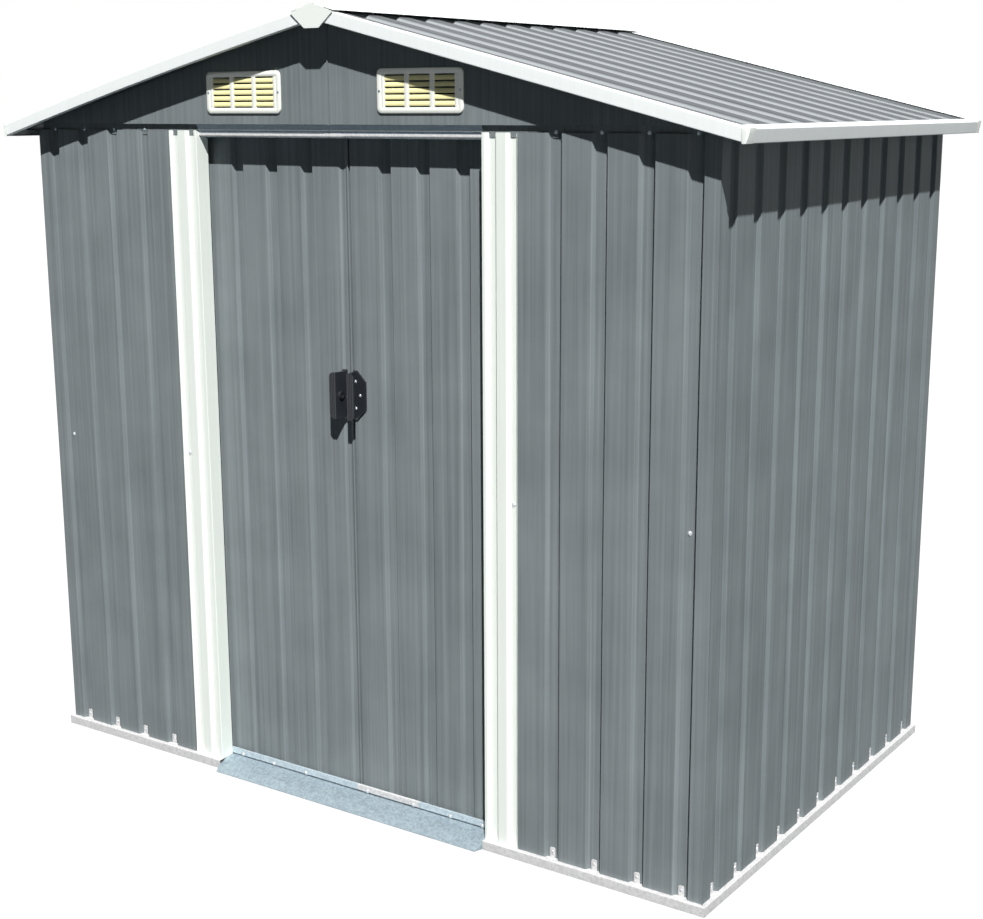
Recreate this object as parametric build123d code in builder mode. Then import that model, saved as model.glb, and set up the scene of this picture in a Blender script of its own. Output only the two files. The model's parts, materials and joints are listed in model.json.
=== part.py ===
from build123d import *
import os
from math import cos, radians, sin, tan

# Metal storage shed: ribbed sheet walls on a channel base, a low gable roof and two sliding doors.
# Millimetres. X runs right along the front, Y to the back, Z up, from the ground under the middle.

# Walls, over the outer face of the pans
wall_width = 1890
wall_depth = 1188
wall_top = 1571
front_bays = 18
side_bays = 11

# Sheet and section gauges, and the small gap between pieces that bear on each other
sheet = 1.0
rail_gauge = 1.2
trim_gauge = 1.2
seat = 0.3
running_gap = 5
cut_overrun = 2

# Ribbed wall sheet: wide pans with narrow grooves pressed inwards
groove_mouth = 35
groove_floor = 17
groove_depth = 9

# Base channel with an outer lip, a ledge under the walls and tabs that stand in the grooves
ledge_height = 22
lip_overhang = 10
rail_depth = 16
rail_foot = 20
tab_width = 14
tab_height = 26

# Top rail with a flange over the walls and teeth that hang in the grooves
top_rail_height = 14
top_rail_depth = 35
tooth_length = 10

# Inner rails half way up the walls, at the front only as far as the doorway
mid_rail_height = 815
mid_rail_web = 30
mid_rail_flange = 25

# Doorway and its white jambs
door_opening = 804
jamb_width = 88
jamb_return = 38
jamb_lip = 18
jamb_joggle = 25
jamb_bead = 8
jamb_flank = 6
jamb_pan = 24

# Door track under the top rail, a channel that opens downwards
track_front = 23
track_depth = 59
track_height = 27.5
track_front_lip = 8
track_rear_lip = 14
track_bead = 6
track_hem_reach = 10
track_hem = 6.5
track_spare = 20

# Lower track, a trough on two legs
trough_front = 41
trough_width = 45
trough_floor = 27
trough_height = 42

# Threshold lip that hangs in front of the lower track, and the ramp that runs in under it
threshold_reach = 4
threshold_drop = 14
sill_reach = 31
sill_toe = 2.5
sill_top = 25.5
sill_hem = 12

# Sliding doors, behind the front walls
door_setback = 50
door_gap = 5
door_overlap = 38
door_hem = 12
door_lift = 6
door_head_gap = 12
door_seam = 10
door_first_groove = 111.5
door_groove_middle = -1.5
door_bead_mouth = 25
door_bead_floor = 11
door_bead_depth = 3.5
door_bead_place = 17

# Hangers in the upper track and glides in the lower one
runner_length = 40
hanger_depth = 15
hanger_height = 14
glide_depth = 17
glide_height = 40
runner_corner = 4

# Door handles: a chamfered plate and a hooked grip with a boss for a padlock
handle_height = 985
handle_length = 112
handle_middle = 3.5
handle_start = 9.5
handle_plate_width = 35.5
handle_plate_gauge = 4
handle_chamfer = 25
grip_gauge = 5
grip_reach = 36
grip_lean = 7
grip_hook = 18.5
grip_length = 106
grip_corner = 12
finger_groove_width = 2
finger_groove_depth = 1
finger_groove_pitch = 4.5
finger_grooves = 3
lock_place = 20
lock_boss_radius = 9
lock_boss_length = 10.5
lock_hole_radius = 5

# Roof: ribbed sheets that fall to both sides, with trims round the edges
roof_angle = 13.7
eave_overhang = 80
verge_overhang = 51
roof_pitch = 107
roof_shift = -15
roof_pan_mouth = 62
roof_pan_floor = 44
roof_rib_height = 12
ridge_opening = 8
verge_height = 27.2
verge_top_flange = 22
verge_bottom_flange = 12
verge_start = 5
eave_fascia = 22
eave_top_flange = 18
eave_bottom_flange = 10
cap_gauge = 3
ridge_cap_half = 58
ridge_cap_crown = 8
ridge_cap_rise = 18
end_cap_tail = 20
end_cap_drop = 50
corner_cap_length = 15
corner_cap_return = 28
corner_cap_chamfer = 4
corner_cap_skirt = 1

# Roof beams
beam_half = 30
beam_leg = 25
purlin_place_share = 0.5
purlin_width = 50
purlin_leg = 30

# Gable sheets and their vents
gable_tip = 15
gable_flange = 28
gable_seam = 0.5
vent_width = 224
vent_height = 93
vent_depth = 6
vent_corner = 12
vent_place = 248
vent_rise = 70
vent_columns = 3
vent_rows = 6
vent_edge_chamfer = 2
slot_width = 56
slot_height = 3.6
slot_column_pitch = 63
slot_row_pitch = 13
slot_slant = 30
vent_opening_margin = 14

# Places worked out from the driving sizes
half_width = wall_width / 2
half_depth = wall_depth / 2
front_pitch = wall_width / front_bays
plate_top = wall_top + top_rail_height
sheet_bottom = ledge_height + seat
door_half = door_opening / 2
jamb_outer = door_half + jamb_width
slope_cos = cos(radians(roof_angle))
slope_sin = sin(radians(roof_angle))
slope_tan = tan(radians(roof_angle))
track_top = plate_top - rail_gauge - seat
track_bottom = track_top - track_height
door_bottom = trough_floor + door_lift
door_top = track_top - rail_gauge - door_head_gap
door_inner_face = door_setback + groove_depth + sheet
hook_start = handle_start + grip_lean
hook_end = hook_start + grip_hook
door_travel = door_half - handle_middle - hook_end - running_gap
track_half = door_half + door_overlap + door_travel + track_spare
verge_plane = half_depth + verge_overhang - cap_gauge - seat
eave_plane = half_width + eave_overhang - cap_gauge - seat
roof_sheet_half = verge_plane - trim_gauge - seat
verge_top = roof_rib_height + seat + trim_gauge

# The four wall faces: local x runs along the wall, local y points into the shed
front = Plane(origin=(0, -half_depth, 0), x_dir=(1, 0, 0), z_dir=(0, 0, 1))
back = Plane(origin=(0, half_depth, 0), x_dir=(-1, 0, 0), z_dir=(0, 0, 1))
right = Plane(origin=(half_width, 0, 0), x_dir=(0, 1, 0), z_dir=(0, 0, 1))
left = Plane(origin=(-half_width, 0, 0), x_dir=(0, -1, 0), z_dir=(0, 0, 1))

os.makedirs("parts", exist_ok=True)


def keep(part, name):
    """Label a finished piece and write its file."""
    part.label = name
    export_step(part, f"parts/{name}.step")


def section(face, along):
    """Cross-section of a wall: local x points into the shed, local y up, the normal along the wall."""
    return Plane(origin=face.from_local_coords((along, 0, 0)), x_dir=face.y_dir, z_dir=face.x_dir)


def elevation(face, inward):
    """View of a wall from outside: local x along the wall, local y up, the normal out of the shed."""
    return Plane(origin=face.from_local_coords((0, inward, 0)), x_dir=face.x_dir, z_dir=-face.y_dir)


def right_of(start, end):
    """Unit vector that points to the right of a run."""
    way = (end - start).normalized()
    return Vector(way.Y, -way.X)


def folded(path, gauge):
    """Closed outline of sheet bent along a path, with its thickness on the path's right."""
    points = [Vector(*point) for point in path]
    sides = [right_of(start, end) for start, end in zip(points, points[1:])]
    corners = zip(points, [sides[0], *sides], [*sides, sides[-1]])
    inner = [point + (before + after) * (gauge / (1 + before.dot(after))) for point, before, after in corners]
    return [*points, *reversed(inner)]


def groove_places(length, bays, start, end):
    """Middles of the grooves that lie whole between two places along a wall."""
    pitch = length / bays
    places = [pitch * index + pitch / 2 - length / 2 for index in range(bays)]
    return [place for place in places if start + groove_mouth / 2 < place < end - groove_mouth / 2]


def pressed(place, inward, mouth, floor, depth):
    """The four bends of a trough pressed into a sheet."""
    bottom = inward + depth
    return [
        (place - mouth / 2, inward),
        (place - floor / 2, bottom),
        (place + floor / 2, bottom),
        (place + mouth / 2, inward),
    ]


def groove_points(place, inward):
    """The four bends of one groove in a sheet."""
    return pressed(place, inward, groove_mouth, groove_floor, groove_depth)


def formed(plane, path, gauge, length):
    """Sheet section on a plane, drawn out along the plane's normal."""
    with BuildPart() as strip:
        with BuildSketch(plane):
            with BuildLine():
                Polyline(*folded(path, gauge), close=True)
            make_face()
        extrude(amount=length)
    return strip.part


def wall_sheet(face, start, end, places):
    """Ribbed wall sheet that stands on the base ledge."""
    path = [(start, 0)]
    for place in places:
        path += groove_points(place, 0)
    path.append((end, 0))
    return formed(face.offset(sheet_bottom), path, -sheet, wall_top - sheet_bottom)


def mitre(face, place, outside, end):
    """Upright plane through a corner of the shed, facing out of the piece that ends there."""
    return Plane(
        origin=face.from_local_coords((end * (place - seat), outside, 0)),
        z_dir=end * face.x_dir + face.y_dir,
    )


def base_rail(face, start, end, places, mitres):
    """Base channel with tabs in the wall's grooves and its corner ends mitred."""
    path = [
        (-lip_overhang, 0),
        (-lip_overhang, ledge_height),
        (rail_depth, ledge_height),
        (rail_depth, rail_gauge),
        (rail_depth + rail_foot, rail_gauge),
    ]
    tab_middle = ledge_height - rail_gauge + tab_height / 2
    with BuildPart() as rail:
        with BuildSketch(section(face, start)):
            with BuildLine():
                Polyline(*folded(path, rail_gauge), close=True)
            make_face()
        extrude(amount=end - start)
        with BuildSketch(elevation(face, groove_depth - seat)):
            with Locations(*[(place, tab_middle) for place in places]):
                Rectangle(tab_width, tab_height)
        extrude(amount=rail_gauge)
        for plane in mitres:
            split(bisect_by=plane, keep=Keep.BOTTOM)
    return rail.part


def top_rail(face, length, places):
    """Rail over a wall, with teeth in the wall's grooves and both ends mitred."""
    web = groove_depth - seat - rail_gauge
    path = [(web, wall_top + seat), (web, plate_top), (top_rail_depth, plate_top)]
    tooth_height = tooth_length + seat + rail_gauge
    tooth_middle = wall_top - tooth_length + tooth_height / 2
    with BuildPart() as rail:
        with BuildSketch(section(face, -length / 2)):
            with BuildLine():
                Polyline(*folded(path, rail_gauge), close=True)
            make_face()
        extrude(amount=length)
        with BuildSketch(elevation(face, groove_depth - seat)):
            with Locations(*[(place, tooth_middle) for place in places]):
                Rectangle(tab_width, tooth_height)
        extrude(amount=rail_gauge)
        for end in (1, -1):
            split(bisect_by=mitre(face, length / 2, 0, end), keep=Keep.BOTTOM)
    return rail.part


def roof_underside(run):
    """Height of the roof sheet's lower face at a distance from the ridge line."""
    return plate_top + seat + (half_width - run) * slope_tan


def roof_level(run, rise):
    """Height over a distance from the ridge of a surface that lies a rise above the roof's pans."""
    return roof_underside(run) + (sheet + rise) / slope_cos


def roof_plane(side, run):
    """Cross-section of a roof side: local y is the roof's normal, the plane's normal runs downhill."""
    return Plane(
        origin=(side * run, 0, roof_level(run, 0)),
        x_dir=(0, side, 0),
        z_dir=(side * slope_cos, 0, -slope_sin),
    )


# Base channel
front_grooves = groove_places(wall_width, front_bays, -half_width, half_width)
side_grooves = groove_places(wall_depth, side_bays, -half_depth, half_depth)
front_right_grooves = groove_places(wall_width, front_bays, jamb_outer, half_width)
front_left_grooves = groove_places(wall_width, front_bays, -half_width, -jamb_outer)
rail_half_width = half_width + lip_overhang
rail_half_depth = half_depth + lip_overhang

front_corners = [mitre(front, rail_half_width, -lip_overhang, end) for end in (-1, 1)]
keep(
    base_rail(front, -rail_half_width, -door_half, front_left_grooves, front_corners[:1]),
    "base_rail_front_left",
)
keep(
    base_rail(front, door_half, rail_half_width, front_right_grooves, front_corners[1:]),
    "base_rail_front_right",
)
for face, name, half, places in (
    (back, "base_rail_back", rail_half_width, front_grooves),
    (left, "base_rail_left", rail_half_depth, side_grooves),
    (right, "base_rail_right", rail_half_depth, side_grooves),
):
    corners = [mitre(face, half, -lip_overhang, end) for end in (-1, 1)]
    keep(base_rail(face, -half, half, places, corners), name)

# Wall sheets, with the side sheets closed in between the front and back ones
wall_joint = seat / 2
side_half = half_depth - sheet - seat
back_right_grooves = groove_places(wall_width, front_bays, -half_width, 0)
back_left_grooves = groove_places(wall_width, front_bays, 0, half_width)
keep(wall_sheet(front, -half_width, -jamb_outer - seat, front_left_grooves), "front_left_wall")
keep(wall_sheet(front, jamb_outer + seat, half_width, front_right_grooves), "front_right_wall")
keep(wall_sheet(left, -side_half, side_half, side_grooves), "left_wall")
keep(wall_sheet(right, -side_half, side_half, side_grooves), "right_wall")
keep(wall_sheet(back, wall_joint, half_width, back_left_grooves), "back_left_wall")
keep(wall_sheet(back, -half_width, -wall_joint, back_right_grooves), "back_right_wall")

# Top rails
jamb_floor = (jamb_width - jamb_bead - jamb_pan - 4 * jamb_flank) / 2
jamb_inner_groove = door_half + jamb_bead + jamb_flank + jamb_floor / 2
jamb_outer_groove = jamb_outer - jamb_flank - jamb_floor / 2
jamb_grooves = [hand * place for hand in (-1, 1) for place in (jamb_inner_groove, jamb_outer_groove)]
keep(top_rail(front, wall_width, front_left_grooves + jamb_grooves + front_right_grooves), "front_top_rail")
keep(top_rail(back, wall_width, front_grooves), "back_top_rail")
keep(
    Compound(children=[top_rail(face, wall_depth, side_grooves) for face in (left, right)]),
    "side_top_rails",
)

# Inner rails half way up the walls
mid_rail_web_place = groove_depth + sheet + seat
mid_rail_path = [
    (mid_rail_web_place, mid_rail_height - mid_rail_web),
    (mid_rail_web_place, mid_rail_height),
    (mid_rail_web_place + mid_rail_flange, mid_rail_height),
]
mid_side_half = half_depth - mid_rail_web_place
mid_back_half = half_width - mid_rail_web_place - mid_rail_flange - seat
mid_front_start = door_half + jamb_lip + running_gap
with BuildPart() as mid_rails:
    for face, start, end in (
        (left, -mid_side_half, mid_side_half),
        (right, -mid_side_half, mid_side_half),
        (back, -mid_back_half, mid_back_half),
        (front, -mid_back_half, -mid_front_start),
        (front, mid_front_start, mid_back_half),
    ):
        with BuildSketch(section(face, start)):
            with BuildLine():
                Polyline(*folded(mid_rail_path, rail_gauge), close=True)
            make_face()
        extrude(amount=end - start)
keep(mid_rails.part, "mid_rails")

# Jambs, with the inner return notched where the door track passes
notch_height = wall_top - track_bottom + seat + cut_overrun
notch_depth = jamb_return - track_front + seat + cut_overrun
for hand, name in ((-1, "left_jamb"), (1, "right_jamb")):
    floor_start = jamb_bead + jamb_flank
    pan_start = floor_start + jamb_floor + jamb_flank
    outer_floor = pan_start + jamb_pan + jamb_flank
    jamb_path = [
        (jamb_lip, jamb_return),
        (0, jamb_return),
        (0, 0),
        (jamb_bead, 0),
        (floor_start, groove_depth),
        (floor_start + jamb_floor, groove_depth),
        (pan_start, 0),
        (pan_start + jamb_pan, 0),
        (outer_floor, groove_depth),
        (outer_floor + jamb_floor, groove_depth),
        (jamb_width, 0),
        (jamb_width, sheet + seat),
        (jamb_width + jamb_joggle, sheet + seat),
    ]
    placed_path = [(hand * (door_half + across), inward) for across, inward in jamb_path]
    with BuildPart() as jamb:
        with BuildSketch(front.offset(sheet_bottom)):
            with BuildLine():
                Polyline(*folded(placed_path, -hand * sheet), close=True)
            make_face()
        extrude(amount=wall_top - sheet_bottom)
        with BuildSketch(section(front, hand * (door_half + jamb_lip + cut_overrun))):
            with Locations((track_front - seat, track_bottom - seat)):
                Rectangle(notch_depth, notch_height, align=(Align.MIN, Align.MIN))
        extrude(amount=-hand * (jamb_lip + 2 * cut_overrun), mode=Mode.SUBTRACT)
    keep(jamb.part, name)

# Door track: front flange with a lip, web, rear flange and a lip with a bead for the hangers,
# and a hem along its foot in the doorway
track_rear = track_front + track_depth
track_path = [
    (track_front + track_front_lip, track_bottom),
    (track_front, track_bottom),
    (track_front, track_top),
    (track_rear, track_top),
    (track_rear, track_bottom),
    (track_rear - track_rear_lip, track_bottom),
    (track_rear - track_rear_lip, track_bottom + track_bead),
]
hem_front = track_front - track_hem_reach
hem_path = [
    (hem_front, track_bottom + track_hem),
    (hem_front, track_bottom),
    (track_front + rail_gauge, track_bottom),
]
sill_half = door_half - seat
with BuildPart() as door_track:
    for path, gauge, half in ((track_path, rail_gauge, track_half), (hem_path, -rail_gauge, sill_half)):
        with BuildSketch(section(front, -half)):
            with BuildLine():
                Polyline(*folded(path, gauge), close=True)
            make_face()
        extrude(amount=2 * half)
keep(door_track.part, "door_track")

# Lower track: a trough between two legs that stand on the ground, with a threshold lip in the doorway
threshold_path = [
    (trough_front - threshold_reach, trough_height - threshold_drop),
    (trough_front - threshold_reach, trough_height),
    (trough_front + rail_gauge, trough_height),
]
with BuildPart() as bottom_track:
    with BuildSketch(section(front, -track_half)):
        with Locations((trough_front, 0), (trough_front + trough_width - rail_gauge, 0)):
            Rectangle(rail_gauge, trough_height, align=(Align.MIN, Align.MIN))
        with Locations((trough_front, trough_floor)):
            Rectangle(trough_width, rail_gauge, align=(Align.MIN, Align.MAX))
    extrude(amount=2 * track_half)
    with BuildSketch(section(front, -sill_half)):
        with BuildLine():
            Polyline(*folded(threshold_path, rail_gauge), close=True)
        make_face()
    extrude(amount=2 * sill_half)
keep(bottom_track.part, "bottom_track")

# Ramp with closed ends
sill_back = trough_front - seat
sill_path = [
    (-sill_reach, 0),
    (-sill_reach, sill_toe),
    (sill_back, sill_top),
    (sill_back, sill_top - sill_hem),
]
with BuildPart() as door_sill:
    with BuildSketch(section(front, -sill_half)):
        with BuildLine():
            Polyline(*folded(sill_path, rail_gauge), close=True)
        make_face()
    extrude(amount=2 * sill_half)
    for end in (-1, 1):
        with BuildSketch(section(front, end * sill_half)):
            with BuildLine():
                Polyline(*sill_path[:3], (sill_back, 0), close=True)
            make_face()
        extrude(amount=-end * rail_gauge)
keep(door_sill.part, "door_sill")

# Gable sheets with a flange on the top rail and openings behind the vents
gable_foot = plate_top + seat
gable_reach = half_width - gable_tip
vent_middle = plate_top + vent_rise
for face, name, hand in (
    (front, "front_gable_left", -1),
    (front, "front_gable_right", 1),
    (back, "back_gable_left", 1),
    (back, "back_gable_right", -1),
):
    with BuildPart() as gable:
        with BuildSketch(elevation(face, 0)):
            with BuildLine():
                Polyline(
                    (hand * gable_seam, gable_foot),
                    (hand * gable_reach, gable_foot),
                    (hand * gable_reach, roof_underside(gable_reach) - seat),
                    (hand * gable_seam, roof_underside(gable_seam) - seat),
                    close=True,
                )
            make_face()
            with Locations((hand * vent_place, vent_middle)):
                Rectangle(
                    vent_width - 2 * vent_opening_margin,
                    vent_height - 2 * vent_opening_margin,
                    mode=Mode.SUBTRACT,
                )
        extrude(amount=-sheet)
        with BuildSketch(face.offset(gable_foot)):
            with Locations((hand * (gable_seam + gable_reach) / 2, 0)):
                Rectangle(gable_reach - gable_seam, gable_flange, align=(Align.CENTER, Align.MIN))
        extrude(amount=sheet)
    keep(gable.part, name)

# Louvred vents: rounded plates with slots that slant up into the shed
for face, name in ((front, "front_vents"), (back, "back_vents")):
    slot_way = face.y_dir * cos(radians(slot_slant)) + Vector(0, 0, sin(radians(slot_slant)))
    with BuildPart() as vents:
        with BuildSketch(elevation(face, -seat)):
            with Locations((-vent_place, vent_middle), (vent_place, vent_middle)):
                RectangleRounded(vent_width, vent_height, vent_corner)
        extrude(amount=vent_depth)
        outer_faces = [side for side in vents.faces() if side.normal_at().dot(face.y_dir) < -slope_cos]
        chamfer([edge for side in outer_faces for edge in side.edges()], vent_edge_chamfer)
        with BuildSketch(elevation(face, -seat - vent_depth - cut_overrun)):
            with Locations((-vent_place, vent_middle), (vent_place, vent_middle)):
                with GridLocations(slot_column_pitch, slot_row_pitch, vent_columns, vent_rows):
                    Rectangle(slot_width, slot_height)
        extrude(amount=2 * (vent_depth + cut_overrun), dir=slot_way, mode=Mode.SUBTRACT)
    keep(vents.part, name)

# Roof sheets in two lengths a side, jointed on a rib
roof_joint = roof_shift - roof_pitch / 2
pan_reach = int(roof_sheet_half / roof_pitch) + 1
pan_places = [roof_shift + roof_pitch * index for index in range(-pan_reach, pan_reach + 1)]
roof_end = eave_plane - trim_gauge - seat - verge_top * slope_sin
for side, side_name in ((-1, "left"), (1, "right")):
    for low, high, end_name in (
        (-roof_sheet_half, roof_joint - wall_joint, "front"),
        (roof_joint + wall_joint, roof_sheet_half, "back"),
    ):
        start, end = sorted((side * low, side * high))
        roof_path = [(start, roof_rib_height)]
        for pan in sorted(side * place for place in pan_places):
            if start + roof_pan_mouth / 2 < pan < end - roof_pan_mouth / 2:
                roof_path += [
                    (pan - roof_pan_mouth / 2, roof_rib_height),
                    (pan - roof_pan_floor / 2, 0),
                    (pan + roof_pan_floor / 2, 0),
                    (pan + roof_pan_mouth / 2, roof_rib_height),
                ]
        roof_path.append((end, roof_rib_height))
        slope_length = (roof_end - ridge_opening) / slope_cos
        keep(
            formed(roof_plane(side, ridge_opening), roof_path, sheet, slope_length),
            f"{side_name}_roof_{end_name}",
        )

# Verge trims, channels that wrap the sloping edges
verge_bottom = verge_top - verge_height
verge_length = (eave_plane - verge_top * slope_sin - verge_start) / slope_cos
for end, end_name in ((-1, "front"), (1, "back")):
    for side, side_name in ((-1, "left"), (1, "right")):
        across = side * end
        verge_path = [
            (across * (verge_plane - verge_bottom_flange), verge_bottom),
            (across * verge_plane, verge_bottom),
            (across * verge_plane, verge_top),
            (across * (verge_plane - verge_top_flange), verge_top),
        ]
        keep(
            formed(roof_plane(side, verge_start), verge_path, -across * trim_gauge, verge_length),
            f"{end_name}_{side_name}_verge",
        )

# Eave trims between the verges
eave_out = half_width - eave_plane
eave_top = roof_level(eave_plane, roof_rib_height) + seat + trim_gauge / slope_cos
eave_bottom = eave_top - eave_fascia
eave_half = verge_plane - verge_top_flange - seat
eave_foot = eave_out + eave_fascia * slope_tan
eave_path = [
    (eave_foot + eave_bottom_flange, eave_bottom),
    (eave_foot, eave_bottom),
    (eave_out, eave_top),
    (eave_out + eave_top_flange, eave_top + eave_top_flange * slope_tan),
]
with BuildPart() as eave_trims:
    for face in (left, right):
        with BuildSketch(section(face, -eave_half)):
            with BuildLine():
                Polyline(*folded(eave_path, trim_gauge), close=True)
            make_face()
        extrude(amount=2 * eave_half)
keep(eave_trims.part, "eave_trims")

# Ridge cap, resting on the verges' top flanges
ridge_edge = roof_level(ridge_cap_half, verge_top) + seat + trim_gauge
ridge_top = ridge_edge + ridge_cap_rise
ridge_path = [
    (-ridge_cap_half, ridge_edge),
    (-ridge_cap_crown, ridge_top),
    (ridge_cap_crown, ridge_top),
    (ridge_cap_half, ridge_edge),
]
keep(formed(elevation(front, half_depth + verge_plane), ridge_path, trim_gauge, 2 * verge_plane), "ridge_cap")

# Plates that close the ridge's two ends
with BuildPart() as ridge_end_caps:
    for face in (front, back):
        with BuildSketch(elevation(face, -verge_overhang)):
            with BuildLine():
                Polyline(
                    *ridge_path,
                    (end_cap_tail, ridge_top - end_cap_drop),
                    (-end_cap_tail, ridge_top - end_cap_drop),
                    close=True,
                )
            make_face()
        extrude(amount=-cap_gauge)
keep(ridge_end_caps.part, "ridge_end_caps")

# Corner caps over the ends of the eaves, with a flat across the corner
corner_x = half_width + eave_overhang
corner_y = half_depth + verge_overhang
corner_outline = [
    (corner_x - corner_cap_length, corner_y),
    (corner_x - corner_cap_chamfer, corner_y),
    (corner_x, corner_y - corner_cap_chamfer),
    (corner_x, corner_y - corner_cap_return),
    (corner_x - cap_gauge, corner_y - corner_cap_return),
    (corner_x - cap_gauge, corner_y - cap_gauge),
    (corner_x - corner_cap_length, corner_y - cap_gauge),
]
with BuildPart() as eave_corner_caps:
    with BuildSketch(Plane.XY.offset(eave_bottom - corner_cap_skirt)):
        for side_x in (-1, 1):
            for side_y in (-1, 1):
                with BuildLine():
                    Polyline(*[(side_x * x, side_y * y) for x, y in corner_outline], close=True)
                make_face()
    extrude(amount=eave_fascia + 2 * corner_cap_skirt)
keep(eave_corner_caps.part, "eave_corner_caps")

# Ridge beam and two purlins under the roof sheets
beam_path = [
    (-beam_half, roof_underside(beam_half) - seat - beam_leg),
    (-beam_half, roof_underside(beam_half) - seat),
    (0, roof_underside(0) - seat),
    (beam_half, roof_underside(beam_half) - seat),
    (beam_half, roof_underside(beam_half) - seat - beam_leg),
]
purlin_start = purlin_place_share * half_width
purlin_end = purlin_start + purlin_width
beam_reach = half_depth - sheet - seat
with BuildPart() as roof_beams:
    with BuildSketch(elevation(front, half_depth + beam_reach)):
        with BuildLine():
            Polyline(*folded(beam_path, rail_gauge), close=True)
        make_face()
        for side in (-1, 1):
            purlin_path = [
                (side * purlin_start, roof_underside(purlin_start) - seat),
                (side * purlin_end, roof_underside(purlin_end) - seat),
                (side * purlin_end, roof_underside(purlin_end) - seat - purlin_leg),
            ]
            with BuildLine():
                Polyline(*folded(purlin_path, side * rail_gauge), close=True)
            make_face()
    extrude(amount=2 * beam_reach)
keep(roof_beams.part, "roof_beams")

# Sliding doors: sheet, runners and handle for each hand
for hand, name in ((-1, "left"), (1, "right")):
    meeting_edge = hand * door_seam + door_gap / 2
    door_end = door_half + door_overlap
    first_place = door_first_groove + hand * door_groove_middle
    door_places = [first_place + front_pitch * index for index in range(front_bays)]
    door_places = [place for place in door_places if place + groove_mouth / 2 < door_end - door_hem]
    door_path = [(meeting_edge, door_setback + door_hem), (meeting_edge, door_setback)]
    if hand < 0:
        bead_place = door_bead_place - door_seam
        door_path += pressed(bead_place, door_setback, door_bead_mouth, door_bead_floor, door_bead_depth)
    for place in door_places:
        door_path += groove_points(place, door_setback)
    door_path += [(door_end, door_setback), (door_end, door_setback + door_hem)]
    placed_path = [(hand * across, inward) for across, inward in door_path]
    door_height = door_top - door_bottom
    keep(
        formed(front.offset(door_bottom), placed_path, -hand * sheet, door_height),
        f"{name}_door_sheet",
    )

    runner_face = door_inner_face + seat
    hanger_middle = track_bottom + track_bead + seat + hanger_height / 2
    glide_middle = trough_floor + seat + glide_height / 2
    runner_places = [hand * place for place in (door_places[0], door_places[-1])]
    with BuildPart() as runners:
        with BuildSketch(elevation(front, runner_face)):
            with Locations(*[(place, hanger_middle) for place in runner_places]):
                RectangleRounded(runner_length, hanger_height, runner_corner)
        extrude(amount=-hanger_depth)
        with BuildSketch(elevation(front, runner_face)):
            with Locations(*[(place, glide_middle) for place in runner_places]):
                RectangleRounded(runner_length, glide_height, runner_corner)
        extrude(amount=-glide_depth)
    keep(runners.part, f"{name}_door_runners")

    plate_end = handle_start + handle_plate_width
    plate_half = handle_length / 2
    plate_outline = [
        (handle_start, -plate_half),
        (plate_end - handle_chamfer, -plate_half),
        (plate_end, handle_chamfer - plate_half),
        (plate_end, plate_half - handle_chamfer),
        (plate_end - handle_chamfer, plate_half),
        (handle_start, plate_half),
    ]
    grip_front = door_setback - grip_reach
    grip_path = [
        (handle_start, door_setback - seat - handle_plate_gauge / 2),
        (hook_start, grip_front),
        (hook_end, grip_front),
    ]
    placed_grip = [(handle_middle + hand * across, inward) for across, inward in grip_path]
    placed_plate = [(handle_middle + hand * across, handle_height + up) for across, up in plate_outline]
    finger_place = handle_middle + hand * (hook_start + hook_end) / 2
    boss_start = handle_middle + hand * handle_start
    with BuildPart() as handle:
        with BuildSketch(front.offset(handle_height - grip_length / 2)):
            with BuildLine():
                Polyline(*folded(placed_grip, -hand * grip_gauge), close=True)
            make_face()
            with Locations((finger_place, grip_front)):
                with GridLocations(finger_groove_pitch, grip_gauge, finger_grooves, 1):
                    Rectangle(finger_groove_width, 2 * finger_groove_depth, mode=Mode.SUBTRACT)
        extrude(amount=grip_length)
        fillet(handle.edges().filter_by(Axis.Y).sort_by(Axis.X, reverse=hand > 0)[:2], grip_corner)
        with BuildSketch(elevation(front, door_setback - seat)):
            with BuildLine():
                Polyline(*placed_plate, close=True)
            make_face()
        extrude(amount=handle_plate_gauge)
        with BuildSketch(section(front, boss_start)):
            with Locations((door_setback - lock_place, handle_height)):
                Circle(lock_boss_radius)
        extrude(amount=hand * lock_boss_length)
        with BuildSketch(section(front, boss_start)):
            with Locations((door_setback - lock_place, handle_height)):
                Circle(lock_hole_radius)
        extrude(amount=hand * lock_boss_length, mode=Mode.SUBTRACT)
    keep(handle.part, f"{name}_door_handle")
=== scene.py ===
"""Looks of a metal storage shed: ribbed painted sheets, white trims, galvanised rails and black handles.

Metres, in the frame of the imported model: X runs right along the front, Y to the back and Z up.
"""

import json
import logging
from dataclasses import dataclass, field
from enum import Enum
from typing import Any

import bpy
import numpy as np
from mathutils import Matrix, Vector


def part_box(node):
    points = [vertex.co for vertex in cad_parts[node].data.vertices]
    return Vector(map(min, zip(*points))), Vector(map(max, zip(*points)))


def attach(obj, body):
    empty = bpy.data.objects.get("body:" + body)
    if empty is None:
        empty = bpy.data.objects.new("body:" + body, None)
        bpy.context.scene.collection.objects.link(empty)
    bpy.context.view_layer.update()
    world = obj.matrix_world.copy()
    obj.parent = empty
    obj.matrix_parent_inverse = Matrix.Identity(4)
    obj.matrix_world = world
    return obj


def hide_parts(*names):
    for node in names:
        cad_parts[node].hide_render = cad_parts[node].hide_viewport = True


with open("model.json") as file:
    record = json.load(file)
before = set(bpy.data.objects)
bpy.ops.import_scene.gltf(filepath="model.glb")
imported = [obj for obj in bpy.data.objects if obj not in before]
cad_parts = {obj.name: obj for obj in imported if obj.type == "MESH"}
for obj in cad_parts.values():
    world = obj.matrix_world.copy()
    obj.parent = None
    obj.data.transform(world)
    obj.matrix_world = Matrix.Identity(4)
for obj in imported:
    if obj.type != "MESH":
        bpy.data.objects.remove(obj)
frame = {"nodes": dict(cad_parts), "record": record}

log = logging.getLogger("shed")
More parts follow.
